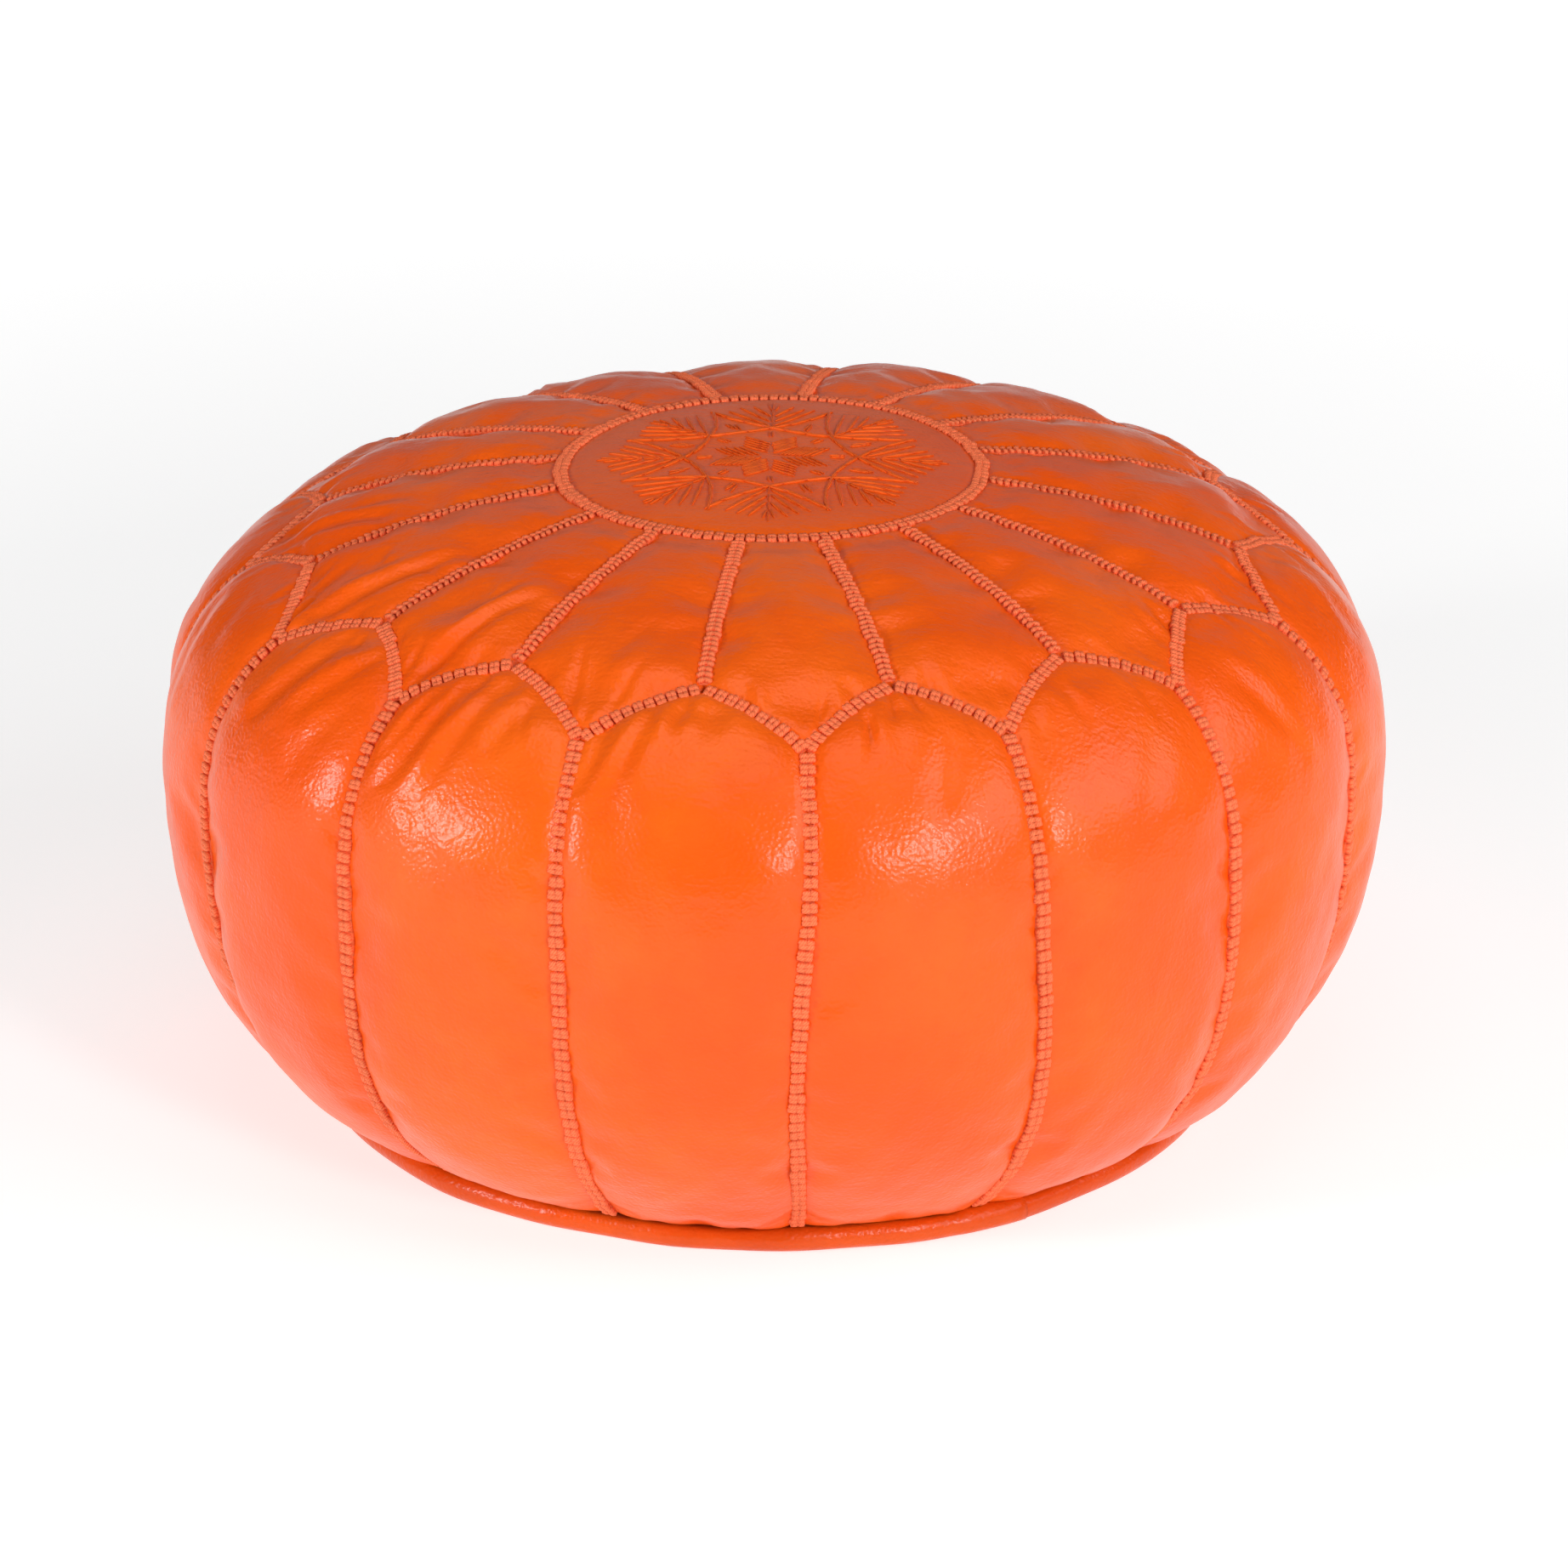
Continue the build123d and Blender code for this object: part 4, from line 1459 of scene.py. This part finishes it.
@dataclass
class Seams:
    """The braids on all the seams, and the lines that they follow."""

    form: BodyForm
    plan: SeamPlan
    slump: Slump
    lift: float = 0.5 * MM
    wander: float = 0.25 * MM
    end_gap: float = 3.4 * MM

    def build(self, wardrobe: Wardrobe) -> None:
        """Makes every braid and hands it to the frame.

        Args:
            wardrobe: the finishes.
        """
        lines = (self._ring(), self._petals(), self._arches(), self._sides())
        for braid, runs in zip(BRAIDS, lines):
            beads = braid.beads()
            choose = random.Random(braid.seed)
            places = [place for angle, travel in runs for place in self._stations(angle, travel, braid)]
            mesh = stamp(braid.name, ((choose.choice(beads), place) for place in places))
            piece = add_piece(braid.name, mesh)
            # The second material dresses the dark block under each bead, painted shade in the braid's gaps.
            wardrobe.dress(piece, Slot.BRAID, wardrobe.ground)
            hand_over(piece, braid.node, note=f", {len(places)} beads")

    def _ring(self) -> Iterator[tuple[np.ndarray, np.ndarray]]:
        """Line round the medallion."""
        angle = np.linspace(0, FULL_TURN, 600)
        yield angle, np.full(600, self.plan.ring_travel)

    def _petals(self) -> Iterator[tuple[np.ndarray, np.ndarray]]:
        """Lines between the petals, from the ring to the arches' tops.

        Yields:
            Each line's angles about +Z and lengths down from the crown.
        """
        for number in range(self.plan.panels):
            angle = self.plan.petal_seam_angle + number * self.plan.pitch
            end = float(self.plan.arch_travel(np.array([angle]))[0]) - self.end_gap
            travel = np.linspace(self.plan.ring_travel + self.end_gap, end, 120)
            yield np.full(120, angle), travel

    def _arches(self) -> Iterator[tuple[np.ndarray, np.ndarray]]:
        """Lines over the side panels, one for each half of an arch.

        Yields:
            Each line's angles about +Z and lengths down from the crown.
        """
        for number in range(self.plan.panels):
            middle = self.plan.petal_seam_angle + number * self.plan.pitch
            for side in (-1, 1):
                angle = middle + side * np.linspace(0.012, 0.49, 80) * self.plan.pitch
                yield angle, self.plan.arch_travel(angle)

    def _sides(self) -> Iterator[tuple[np.ndarray, np.ndarray]]:
        """Lines between the side panels, from the arches' feet to the piping.

        Yields:
            Each line's angles about +Z and lengths down from the crown.
        """
        for number in range(self.plan.panels):
            angle = self.plan.petal_seam_angle + (number + 0.5) * self.plan.pitch
            start = float(self.plan.arch_travel(np.array([angle]))[0])
            travel = np.linspace(start, self.form.foot - 1.0 * MM, 300)
            yield np.full(300, angle), travel

    def _stations(self, angle: np.ndarray, travel: np.ndarray, braid: Braid) -> Iterator[Matrix]:
        """Places the beads of one run at even steps.

        Args:
            angle: the run's angles about +Z.
            travel: its lengths down from the crown.
            braid: the braid to lay.

        Yields:
            Each bead's place.
        """
        draw = random.Random(braid.seed + int(1000 * abs(float(angle[0]))))
        points = self.slump.settle(self.form.place(angle, travel, self.lift - self.plan.seam_depth))
        normals = self.form.normal(angle, travel)
        reach = np.concatenate(([0.0], np.cumsum(np.linalg.norm(np.diff(points, axis=0), axis=1))))
        count = max(1, round(reach[-1] / braid.pitch))
        stretch = reach[-1] / count / braid.pitch
        for number in range(count):
            spots = (np.array([0.0, 0.5, 1.0]) + number) * reach[-1] / count
            back, here, ahead = (Vector([np.interp(s, reach, points[:, i]) for i in range(3)]) for s in spots)
            normal = Vector([np.interp(spots[1], reach, normals[:, i]) for i in range(3)]).normalized()
            along = (ahead - back).normalized()
            side = along.cross(normal).normalized()
            here = here + side * draw.gauss(0, self.wander)
            turned = Matrix((side, along, side.cross(along))).transposed().to_4x4()
            size = Matrix.Diagonal((draw.uniform(0.94, 1.06), stretch, draw.uniform(0.92, 1.08), 1.0))
            yield Matrix.Translation(here) @ turned @ Matrix.Rotation(draw.gauss(0, 0.04), 4, "Z") @ size


@dataclass(frozen=True)
class Stitch:
    """One straight stitch, in millimetres in plan."""

    start: Vector
    end: Vector
    width: float
    madder: bool = False


@dataclass
class Embroidery:
    """The medallion's star, flower, leaves and sprigs, laid stitch by stitch from a plan in millimetres."""

    medallion: Medallion
    turn: float = math.radians(7.5)
    tip_radius: float = 65.0
    side_dip: float = 20.0
    thread: float = 1.2
    arms: int = 8
    seed: int = 21

    def build(self, wardrobe: Wardrobe) -> None:
        """Makes the embroidery and hands it to the frame.

        Args:
            wardrobe: the finishes.
        """
        draw = random.Random(self.seed)
        stitches = [*self._star(draw), *self._sprigs(draw), *self._flower(draw), *self._leaves(draw)]
        templates = {madder: self._template(madder) for madder in (False, True)}
        copies = ((templates[stitch.madder], self._place(stitch, draw)) for stitch in stitches)
        piece = add_piece("embroidery", stamp("embroidery", copies))
        wardrobe.dress(piece, Slot.EMBROIDERY, wardrobe.madder)
        hand_over(piece, "medallion_embroidery", note=f", {len(stitches)} stitches")

    def _template(self, madder: bool) -> bpy.types.Mesh:
        """Makes a stitch of unit half length along Y, drawn to a point at both ends.

        Args:
            madder: whether it is in the darker thread.

        Returns:
            The stitch.
        """
        made = bmesh.new()
        strand = made.verts.layers.float_vector.new("strand")
        turned = Matrix.Rotation(math.pi / 2, 4, "X")
        bmesh.ops.create_uvsphere(made, u_segments=8, v_segments=8, radius=1.0, matrix=turned)
        for vertex in made.verts:
            fuller = max(1 - abs(vertex.co.y), 0.0) ** 0.35
            level = math.hypot(vertex.co.x, vertex.co.z) or 1.0
            vertex.co.x, vertex.co.z = vertex.co.x / level * fuller, vertex.co.z / level * fuller
            vertex[strand] = vertex.co
        for face in made.faces:
            face.material_index = int(madder)
        return to_mesh(made, "embroidery_stitch")

    def _place(self, stitch: Stitch, draw: random.Random) -> Matrix:
        """Place of a stitch on the medallion's face.

        Args:
            stitch: the stitch.
            draw: the source of chance.

        Returns:
            The stitch's matrix.
        """
        turned = Matrix.Rotation(self.turn, 2)
        ends = (stitch.start, stitch.end)
        plan = [turned @ (end + Vector((draw.gauss(0, 0.2), draw.gauss(0, 0.2)))) * MM for end in ends]
        on_face = self.medallion.surface(np.array([place[:] for place in plan]), 0.25 * MM)
        first, last = Vector(on_face[0]), Vector(on_face[1])
        along = (last - first).normalized()
        side = along.cross(UP).normalized()
        facing = Matrix((side, along, side.cross(along))).transposed().to_4x4()
        half = stitch.width * MM / 2 * draw.uniform(0.88, 1.12)
        size = Matrix.Diagonal((half, (last - first).length / 2, half * 0.9, 1.0))
        return Matrix.Translation((first + last) / 2) @ facing @ size

    def _spokes(self, offset: float = 0.0) -> Iterator[tuple[Vector, Vector]]:
        """Directions of the star's arms.

        Args:
            offset: where the first arm is, in arms.

        Yields:
            Each arm's outward and sideways directions.
        """
        for arm in range(self.arms):
            angle = (arm + offset) * FULL_TURN / self.arms
            yield Vector((math.cos(angle), math.sin(angle))), Vector((-math.sin(angle), math.cos(angle)))

    def _star(self, draw: random.Random) -> Iterator[Stitch]:
        """Two crossed squares with sides that curve inwards, in stem stitch.

        Args:
            draw: the source of chance.

        Yields:
            Each stitch.
        """
        spokes = list(self._spokes(0.5))
        count = 9
        shares = [i / count for i in range(count + 1)]
        for arm in range(self.arms):
            first, last = (spokes[i % self.arms][0] * self.tip_radius for i in (arm, arm + 2))
            control = spokes[(arm + 1) % self.arms][0] * self.side_dip
            curve = [first * (1 - t) ** 2 + control * 2 * t * (1 - t) + last * t**2 for t in shares]
            for back, ahead in zip(curve, curve[1:]):
                across = (ahead - back).orthogonal().normalized() * 0.35
                lap = (ahead - back) * 0.25
                yield Stitch(back - lap - across, ahead + lap + across, self.thread * draw.uniform(1.3, 1.5))

    def _sprigs(self, draw: random.Random) -> Iterator[Stitch]:
        """A fir sprig over each crossing: a stem with pairs of long barbs that fan outwards.

        Args:
            draw: the source of chance.

        Yields:
            Each stitch.
        """
        barbs = ((40, 24.0, 18.5), (47, 20.0, 13.5), (54.5, 15.5, 8.5))
        for out, side in self._spokes():
            for sign in (-1, 1):
                for foot, reach, spread in barbs:
                    start = out * foot + side * sign * 0.8
                    tip = out * (foot + reach * draw.uniform(0.92, 1.05)) + side * sign * spread
                    yield Stitch(start, tip, self.thread * draw.uniform(1.25, 1.5))
                tuft = out * draw.uniform(71, 74) + side * sign * 2.6
                yield Stitch(out * 63 + side * sign * 0.7, tuft, self.thread * 0.9, madder=True)
            for foot in (37, 46, 55):
                yield Stitch(out * foot, out * (foot + 8.5), self.thread * 0.8, madder=True)
            yield Stitch(out * 64, out * draw.uniform(74, 76), self.thread * 0.9, madder=True)

    def _flower(self, draw: random.Random) -> Iterator[Stitch]:
        """Eight diamond petals round the middle, in pairs: close satin, then spaced darker bars.

        Args:
            draw: the source of chance.

        Yields:
            Each stitch.
        """
        for arm, (out, side) in enumerate(self._spokes(0.5)):
            spaced = arm // 2 % 2 == 1
            hand = 1 if arm % 2 else -1
            inner = out * 3.4
            near = out * 15.8 + side * hand * 6.5
            far = out * 15.8 - side * hand * 6.5
            count = 5 if spaced else 9
            width = self.thread * (0.85 if spaced else 1.1)
            for bar in range(count):
                start = inner + (near - inner) * (bar + 0.5) / count
                yield Stitch(start, start + far - inner, width * draw.uniform(0.95, 1.08), spaced)

    def _leaves(self, draw: random.Random) -> Iterator[Stitch]:
        """Small leaves between the flower and the star: one in each tip, two bars inside each crossing.

        Args:
            draw: the source of chance.

        Yields:
            Each stitch.
        """
        for arm, (out, side) in enumerate(self._spokes(0.5)):
            for aside in (-1.0, 0.1, 1.2):
                lean = side * draw.uniform(-1.2, 1.2)
                start, end = out * (37 + aside) + side * aside, out * (46 + aside) + side * aside + lean
                yield Stitch(start, end, self.thread * 0.85, arm % 2 == 0)
        for out, side in self._spokes():
            for aside in (-0.9, 0.9):
                start, end = out * 25 + side * aside, out * 31.5 + side * (aside + 0.6)
                yield Stitch(start, end, self.thread * 0.85, madder=True)


# ----------------------------------------------------------------------------------------------------
# Foot and base
# ----------------------------------------------------------------------------------------------------


@dataclass
class Piping:
    """Leather piping round the foot: a strip wrapped round a cord, whose end laps over its start."""

    ring_radius: float = 196.5 * MM
    radius: float = 5.5 * MM
    leather: float = 1.1 * MM
    flange_radius: float = 181 * MM
    flange_top: float = 9.2 * MM
    flange_bottom: float = 8.0 * MM
    lap_angle: float = math.radians(-56)
    lap: float = math.radians(6)
    lap_rise: float = 0.27
    rise_length: float = 1.6
    rise_ramp: float = 0.3
    steps: int = 420

    def build(self, wardrobe: Wardrobe) -> None:
        """Makes the piping's cover and cord and hands them to the frame.

        Args:
            wardrobe: the finishes.
        """
        cover = self._turn("leather_piping", self._section(self.radius, flange=True), self.lap)
        wardrobe.dress(cover, Slot.BASE)
        hand_over(cover, "piping_cover")
        cord = self._turn("piping_core", self._section(self.radius - self.leather, flange=False), 0.0)
        wardrobe.dress(cord, Slot.CORD)
        hand_over(cord, "piping_cord")

    def _section(self, radius: float, flange: bool) -> bmesh.types.BMesh:
        """Closed outline of the piping, upright at the lap.

        Args:
            radius: the tube's radius.
            flange: whether its seam allowance reaches in over the base.

        Returns:
            The outline.
        """
        made = bmesh.new()
        bmesh.ops.create_circle(made, segments=24, radius=radius, cap_ends=False)
        facing = Matrix.Translation((self.ring_radius, 0, self.radius)) @ Matrix.Rotation(math.pi / 2, 4, "X")
        bmesh.ops.transform(made, matrix=facing, verts=made.verts)
        if flange:
            tip = Vector((self.flange_radius, 0, self.flange_top))
            nearest = sorted(made.verts, key=lambda vertex: (vertex.co - tip).length)[:2]
            nearest.sort(key=lambda vertex: vertex.co.z)
            for vertex, height in zip(nearest, (self.flange_bottom, self.flange_top)):
                vertex.co = (self.flange_radius, 0, height)
        bmesh.ops.rotate(made, verts=made.verts, matrix=Matrix.Rotation(self.lap_angle, 3, "Z"))
        return made

    def _turn(self, name: str, made: bmesh.types.BMesh, lap: float) -> bpy.types.Object:
        """Turns an outline round the foot.

        Args:
            name: the piece's name.
            made: the outline.
            lap: how far it goes on past a full turn.

        Returns:
            The piece.
        """
        spin(made, FULL_TURN + lap, self.steps)
        if lap:
            bmesh.ops.holes_fill(made, edges=[edge for edge in made.edges if edge.is_boundary])
        bmesh.ops.recalc_face_normals(made, faces=made.faces)
        piece = add_piece(name, to_mesh(made, name))
        self._wave(piece.data, self.lap_rise if lap else 0.0)
        return piece

    def _wave(self, mesh: bpy.types.Mesh, rise: float) -> None:
        """Makes the piping's line and gauge uneven, presses it flatter and opens its lapping end.

        Args:
            mesh: the piping's mesh, which is changed.
            rise: how much fuller the lapping end is, as a share of the gauge.
        """
        points = read_points(mesh)
        angle = np.arctan2(points[:, 1], points[:, 0])
        radius = np.hypot(points[:, 0], points[:, 1])
        progress = np.arange(len(points)) / len(points)
        into_rise = (progress - 1) * FULL_TURN + self.rise_length * self.lap
        lapping = np.clip(into_rise / (self.rise_ramp * self.lap), 0, 1)
        line = 0.9 * np.sin(5 * angle + 0.6) + 0.6 * np.sin(11 * angle) + 0.3 * np.sin(23 * angle + 2)
        gauge = 0.97 + 0.05 * np.sin(9 * angle + 1) + 0.04 * np.sin(26 * angle) + rise * lapping
        on_tube = radius > self.ring_radius - self.radius * 1.05
        swollen = self.ring_radius + (radius - self.ring_radius) * gauge + line * MM
        radius = np.where(on_tube, swollen, radius)
        points[:, 0], points[:, 1] = radius * np.cos(angle), radius * np.sin(angle)
        raised = on_tube & (points[:, 2] > self.radius)
        points[:, 2] = np.where(raised, self.radius + (points[:, 2] - self.radius) * gauge, points[:, 2])
        write_points(mesh, points)


@dataclass
class Base:
    """The base's two leather halves and its zip, as the frame has them, with their stitching."""

    stitch_pitch: float = 4.0 * MM
    stitch_row: float = 11.5 * MM
    stitch_reach: float = 146 * MM
    underside: float = 5.0 * MM

    def build(self, wardrobe: Wardrobe, nodes: dict[str, bpy.types.Object]) -> None:
        """Dresses the frame's own pieces and sews the zip in.

        Args:
            wardrobe: the finishes.
            nodes: the frame's pieces.
        """
        slots = {
            "base_panel_front": Slot.BASE,
            "base_panel_back": Slot.BASE,
            "zip_tape_front": Slot.TAPE,
            "zip_tape_back": Slot.TAPE,
            "zip_teeth_front": Slot.METAL,
            "zip_teeth_back": Slot.METAL,
            "zip_top_stops": Slot.METAL,
            "zip_bottom_stop": Slot.METAL,
            "zip_slider": Slot.METAL,
            "zip_pull_pin": Slot.METAL,
            "zip_pull": Slot.METAL,
        }
        for name, slot in slots.items():
            wardrobe.dress(nodes[name], slot)
            log.info("%s: the frame's own shape", name)
        self._sew(wardrobe)

    def _sew(self, wardrobe: Wardrobe) -> None:
        """Lays a row of stitches along each side of the zip, on the underside of the base.

        Args:
            wardrobe: the finishes.
        """
        stitch = bmesh.new()
        thread_lump(stitch, shaped((0, 0, 0), (1.5 * MM, 0.4 * MM, 0.35 * MM)))
        places = []
        for side in (-1, 1):
            for number in range(round(2 * self.stitch_reach / self.stitch_pitch)):
                along = -self.stitch_reach + (number + 0.5) * self.stitch_pitch
                places.append(Matrix.Translation((along, side * self.stitch_row, self.underside - 0.1 * MM)))
        template = to_mesh(stitch, "stitch")
        piece = add_piece("zip_stitching", stamp("zip_stitching", ((template, place) for place in places)))
        wardrobe.dress(piece, Slot.BRAID)
        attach(piece, "pouf")
        log.info("%s: %d stitches", piece.name, len(places))


# ----------------------------------------------------------------------------------------------------
# Studio
# ----------------------------------------------------------------------------------------------------


POUF_MIDDLE = 150 * MM


@dataclass(frozen=True)
class Softbox:
    """A rectangular light that faces the pouf: angles in degrees from the camera's side, power in watts."""

    name: str
    azimuth: float
    elevation: float
    distance: float
    width: float
    height: float
    power: float

    def hang(self, towards: Vector) -> None:
        """Adds the light.

        Args:
            towards: the direction from the pouf to the light.
        """
        light = bpy.data.lights.new(self.name, "AREA")
        light.shape = "RECTANGLE"
        light.size, light.size_y = self.width, self.height
        light.energy = self.power
        lamp = bpy.data.objects.new(self.name, light)
        lamp.location = UP * POUF_MIDDLE + towards * self.distance
        lamp.rotation_euler = towards.to_track_quat("Z", "Y").to_euler()
        bpy.context.scene.collection.objects.link(lamp)


SOFTBOXES = (
    Softbox("key_softbox", azimuth=-60, elevation=18, distance=2.3, width=0.36, height=0.6, power=24),
    Softbox("fill_softbox", azimuth=29, elevation=22, distance=2.4, width=0.36, height=0.6, power=22),
    Softbox("side_softbox", azimuth=66, elevation=34, distance=2.6, width=1.8, height=1.4, power=25),
    Softbox("top_softbox", azimuth=0, elevation=74, distance=2.6, width=1.6, height=1.6, power=12),
    Softbox("back_wall", azimuth=180, elevation=24, distance=3.2, width=4.0, height=2.2, power=8),
)


@dataclass
class Studio:
    """Pale floor, soft lights and the camera."""

    azimuth: float = math.radians(8.1)
    elevation: float = math.radians(22.9)
    distance: float = 2.6
    look_height: float = 126.8 * MM
    look_right: float = 5.8 * MM
    lens: float = 136.6
    floor_size: float = 24.0
    bloom_from: float = 0.4
    bloom_to: float = 1.9
    bloom_near: float = 0.64
    bloom_far: float = 0.93
    wall_light: float = 0.42
    ceiling_light: float = 0.22

    def build(self) -> None:
        """Sets up the floor, the lights, the surroundings and the camera."""
        scene = bpy.context.scene
        scene.view_settings.view_transform = "Standard"
        self._floor()
        self._world(scene)
        for softbox in SOFTBOXES:
            azimuth = self.azimuth + math.radians(softbox.azimuth)
            softbox.hang(self._aim(azimuth, math.radians(softbox.elevation)))
        scene.camera = self._camera()

    def _aim(self, azimuth: float, elevation: float) -> Vector:
        """Unit vector from the pouf towards a place round it.

        Args:
            azimuth: angle to the right of -Y, in radians.
            elevation: angle above the floor, in radians.

        Returns:
            The direction.
        """
        level = math.cos(elevation)
        return Vector((math.sin(azimuth) * level, -math.cos(azimuth) * level, math.sin(elevation)))

    def _camera(self) -> bpy.types.Object:
        """Makes the camera.

        Returns:
            The camera.
        """
        towards = self._aim(self.azimuth, self.elevation)
        right = Vector((math.cos(self.azimuth), math.sin(self.azimuth), 0))
        target = UP * self.look_height + right * self.look_right
        camera = bpy.data.objects.new("camera", bpy.data.cameras.new("camera"))
        camera.data.lens = self.lens
        camera.data.clip_end = 60
        camera.location = target + towards * self.distance
        camera.rotation_euler = towards.to_track_quat("Z", "Y").to_euler()
        bpy.context.scene.collection.objects.link(camera)
        return camera

    def _world(self, scene: bpy.types.Scene) -> None:
        """Surrounds the pouf with white walls under a dimmer ceiling.

        Args:
            scene: the scene.
        """
        world = bpy.data.worlds.new("studio")
        scene.world = world
        world.use_nodes = True
        tree = world.node_tree
        spot = tree.nodes.new("ShaderNodeTexCoord")
        parts = tree.nodes.new("ShaderNodeSeparateXYZ")
        ramp = tree.nodes.new("ShaderNodeMapRange")
        tree.links.new(spot.outputs["Generated"], parts.inputs[0])
        tree.links.new(parts.outputs["Z"], ramp.inputs[0])
        for number, value in enumerate((0.05, 0.9, self.wall_light, self.ceiling_light), start=1):
            ramp.inputs[number].default_value = value
        tree.links.new(ramp.outputs[0], tree.nodes["Background"].inputs["Strength"])

    def _floor(self) -> None:
        """Lays a pale floor with a faint bloom of its own."""
        sheet = bmesh.new()
        bmesh.ops.create_grid(sheet, x_segments=2, y_segments=2, size=self.floor_size / 2)
        floor = add_piece("studio_floor", to_mesh(sheet, "studio_floor"), smooth=False)
        shader = Shader("studio_floor")
        spot = shader.place()
        tone = shader.ramp(shader.noise(spot, 0.6), 0.3, 0.7)
        away = shader.node("VectorMath", {0: spot}, operation="LENGTH").outputs["Value"]
        shader.coat(Base_Color=shader.mix(tone, (0.54, 0.54, 0.54, 1), (0.57, 0.57, 0.57, 1)), Roughness=0.8)
        bloom = shader.ramp(away, self.bloom_from, self.bloom_to, self.bloom_near, self.bloom_far)
        shader.coat(Emission_Color=(1, 1, 1, 1), Emission_Strength=bloom)
        floor.data.materials.append(shader.material)


def main() -> None:
    """Builds every piece in order."""
    logging.basicConfig(level=logging.INFO, format="%(relativeCreated)6d ms  %(message)s")
    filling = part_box("filling")[1]
    leather = 1.6 * MM
    form = BodyForm(waist_radius=filling.x + leather, crown_height=filling.z + leather)
    seams = SeamPlan(form)
    slump = Slump()
    wardrobe = Wardrobe()
    Studio().build()
    cover = Cover(form, seams, slump)
    cover.build()
    cover.dress(wardrobe)
    medallion = Medallion(form, seams, slump)
    medallion.build(wardrobe)
    Wadding(form, seams, slump).build(wardrobe)
    Seams(form, seams, slump).build(wardrobe)
    Embroidery(medallion).build(wardrobe)
    Piping().build(wardrobe)
    Base().build(wardrobe, frame["nodes"])


if __name__ == "__main__":
    main()
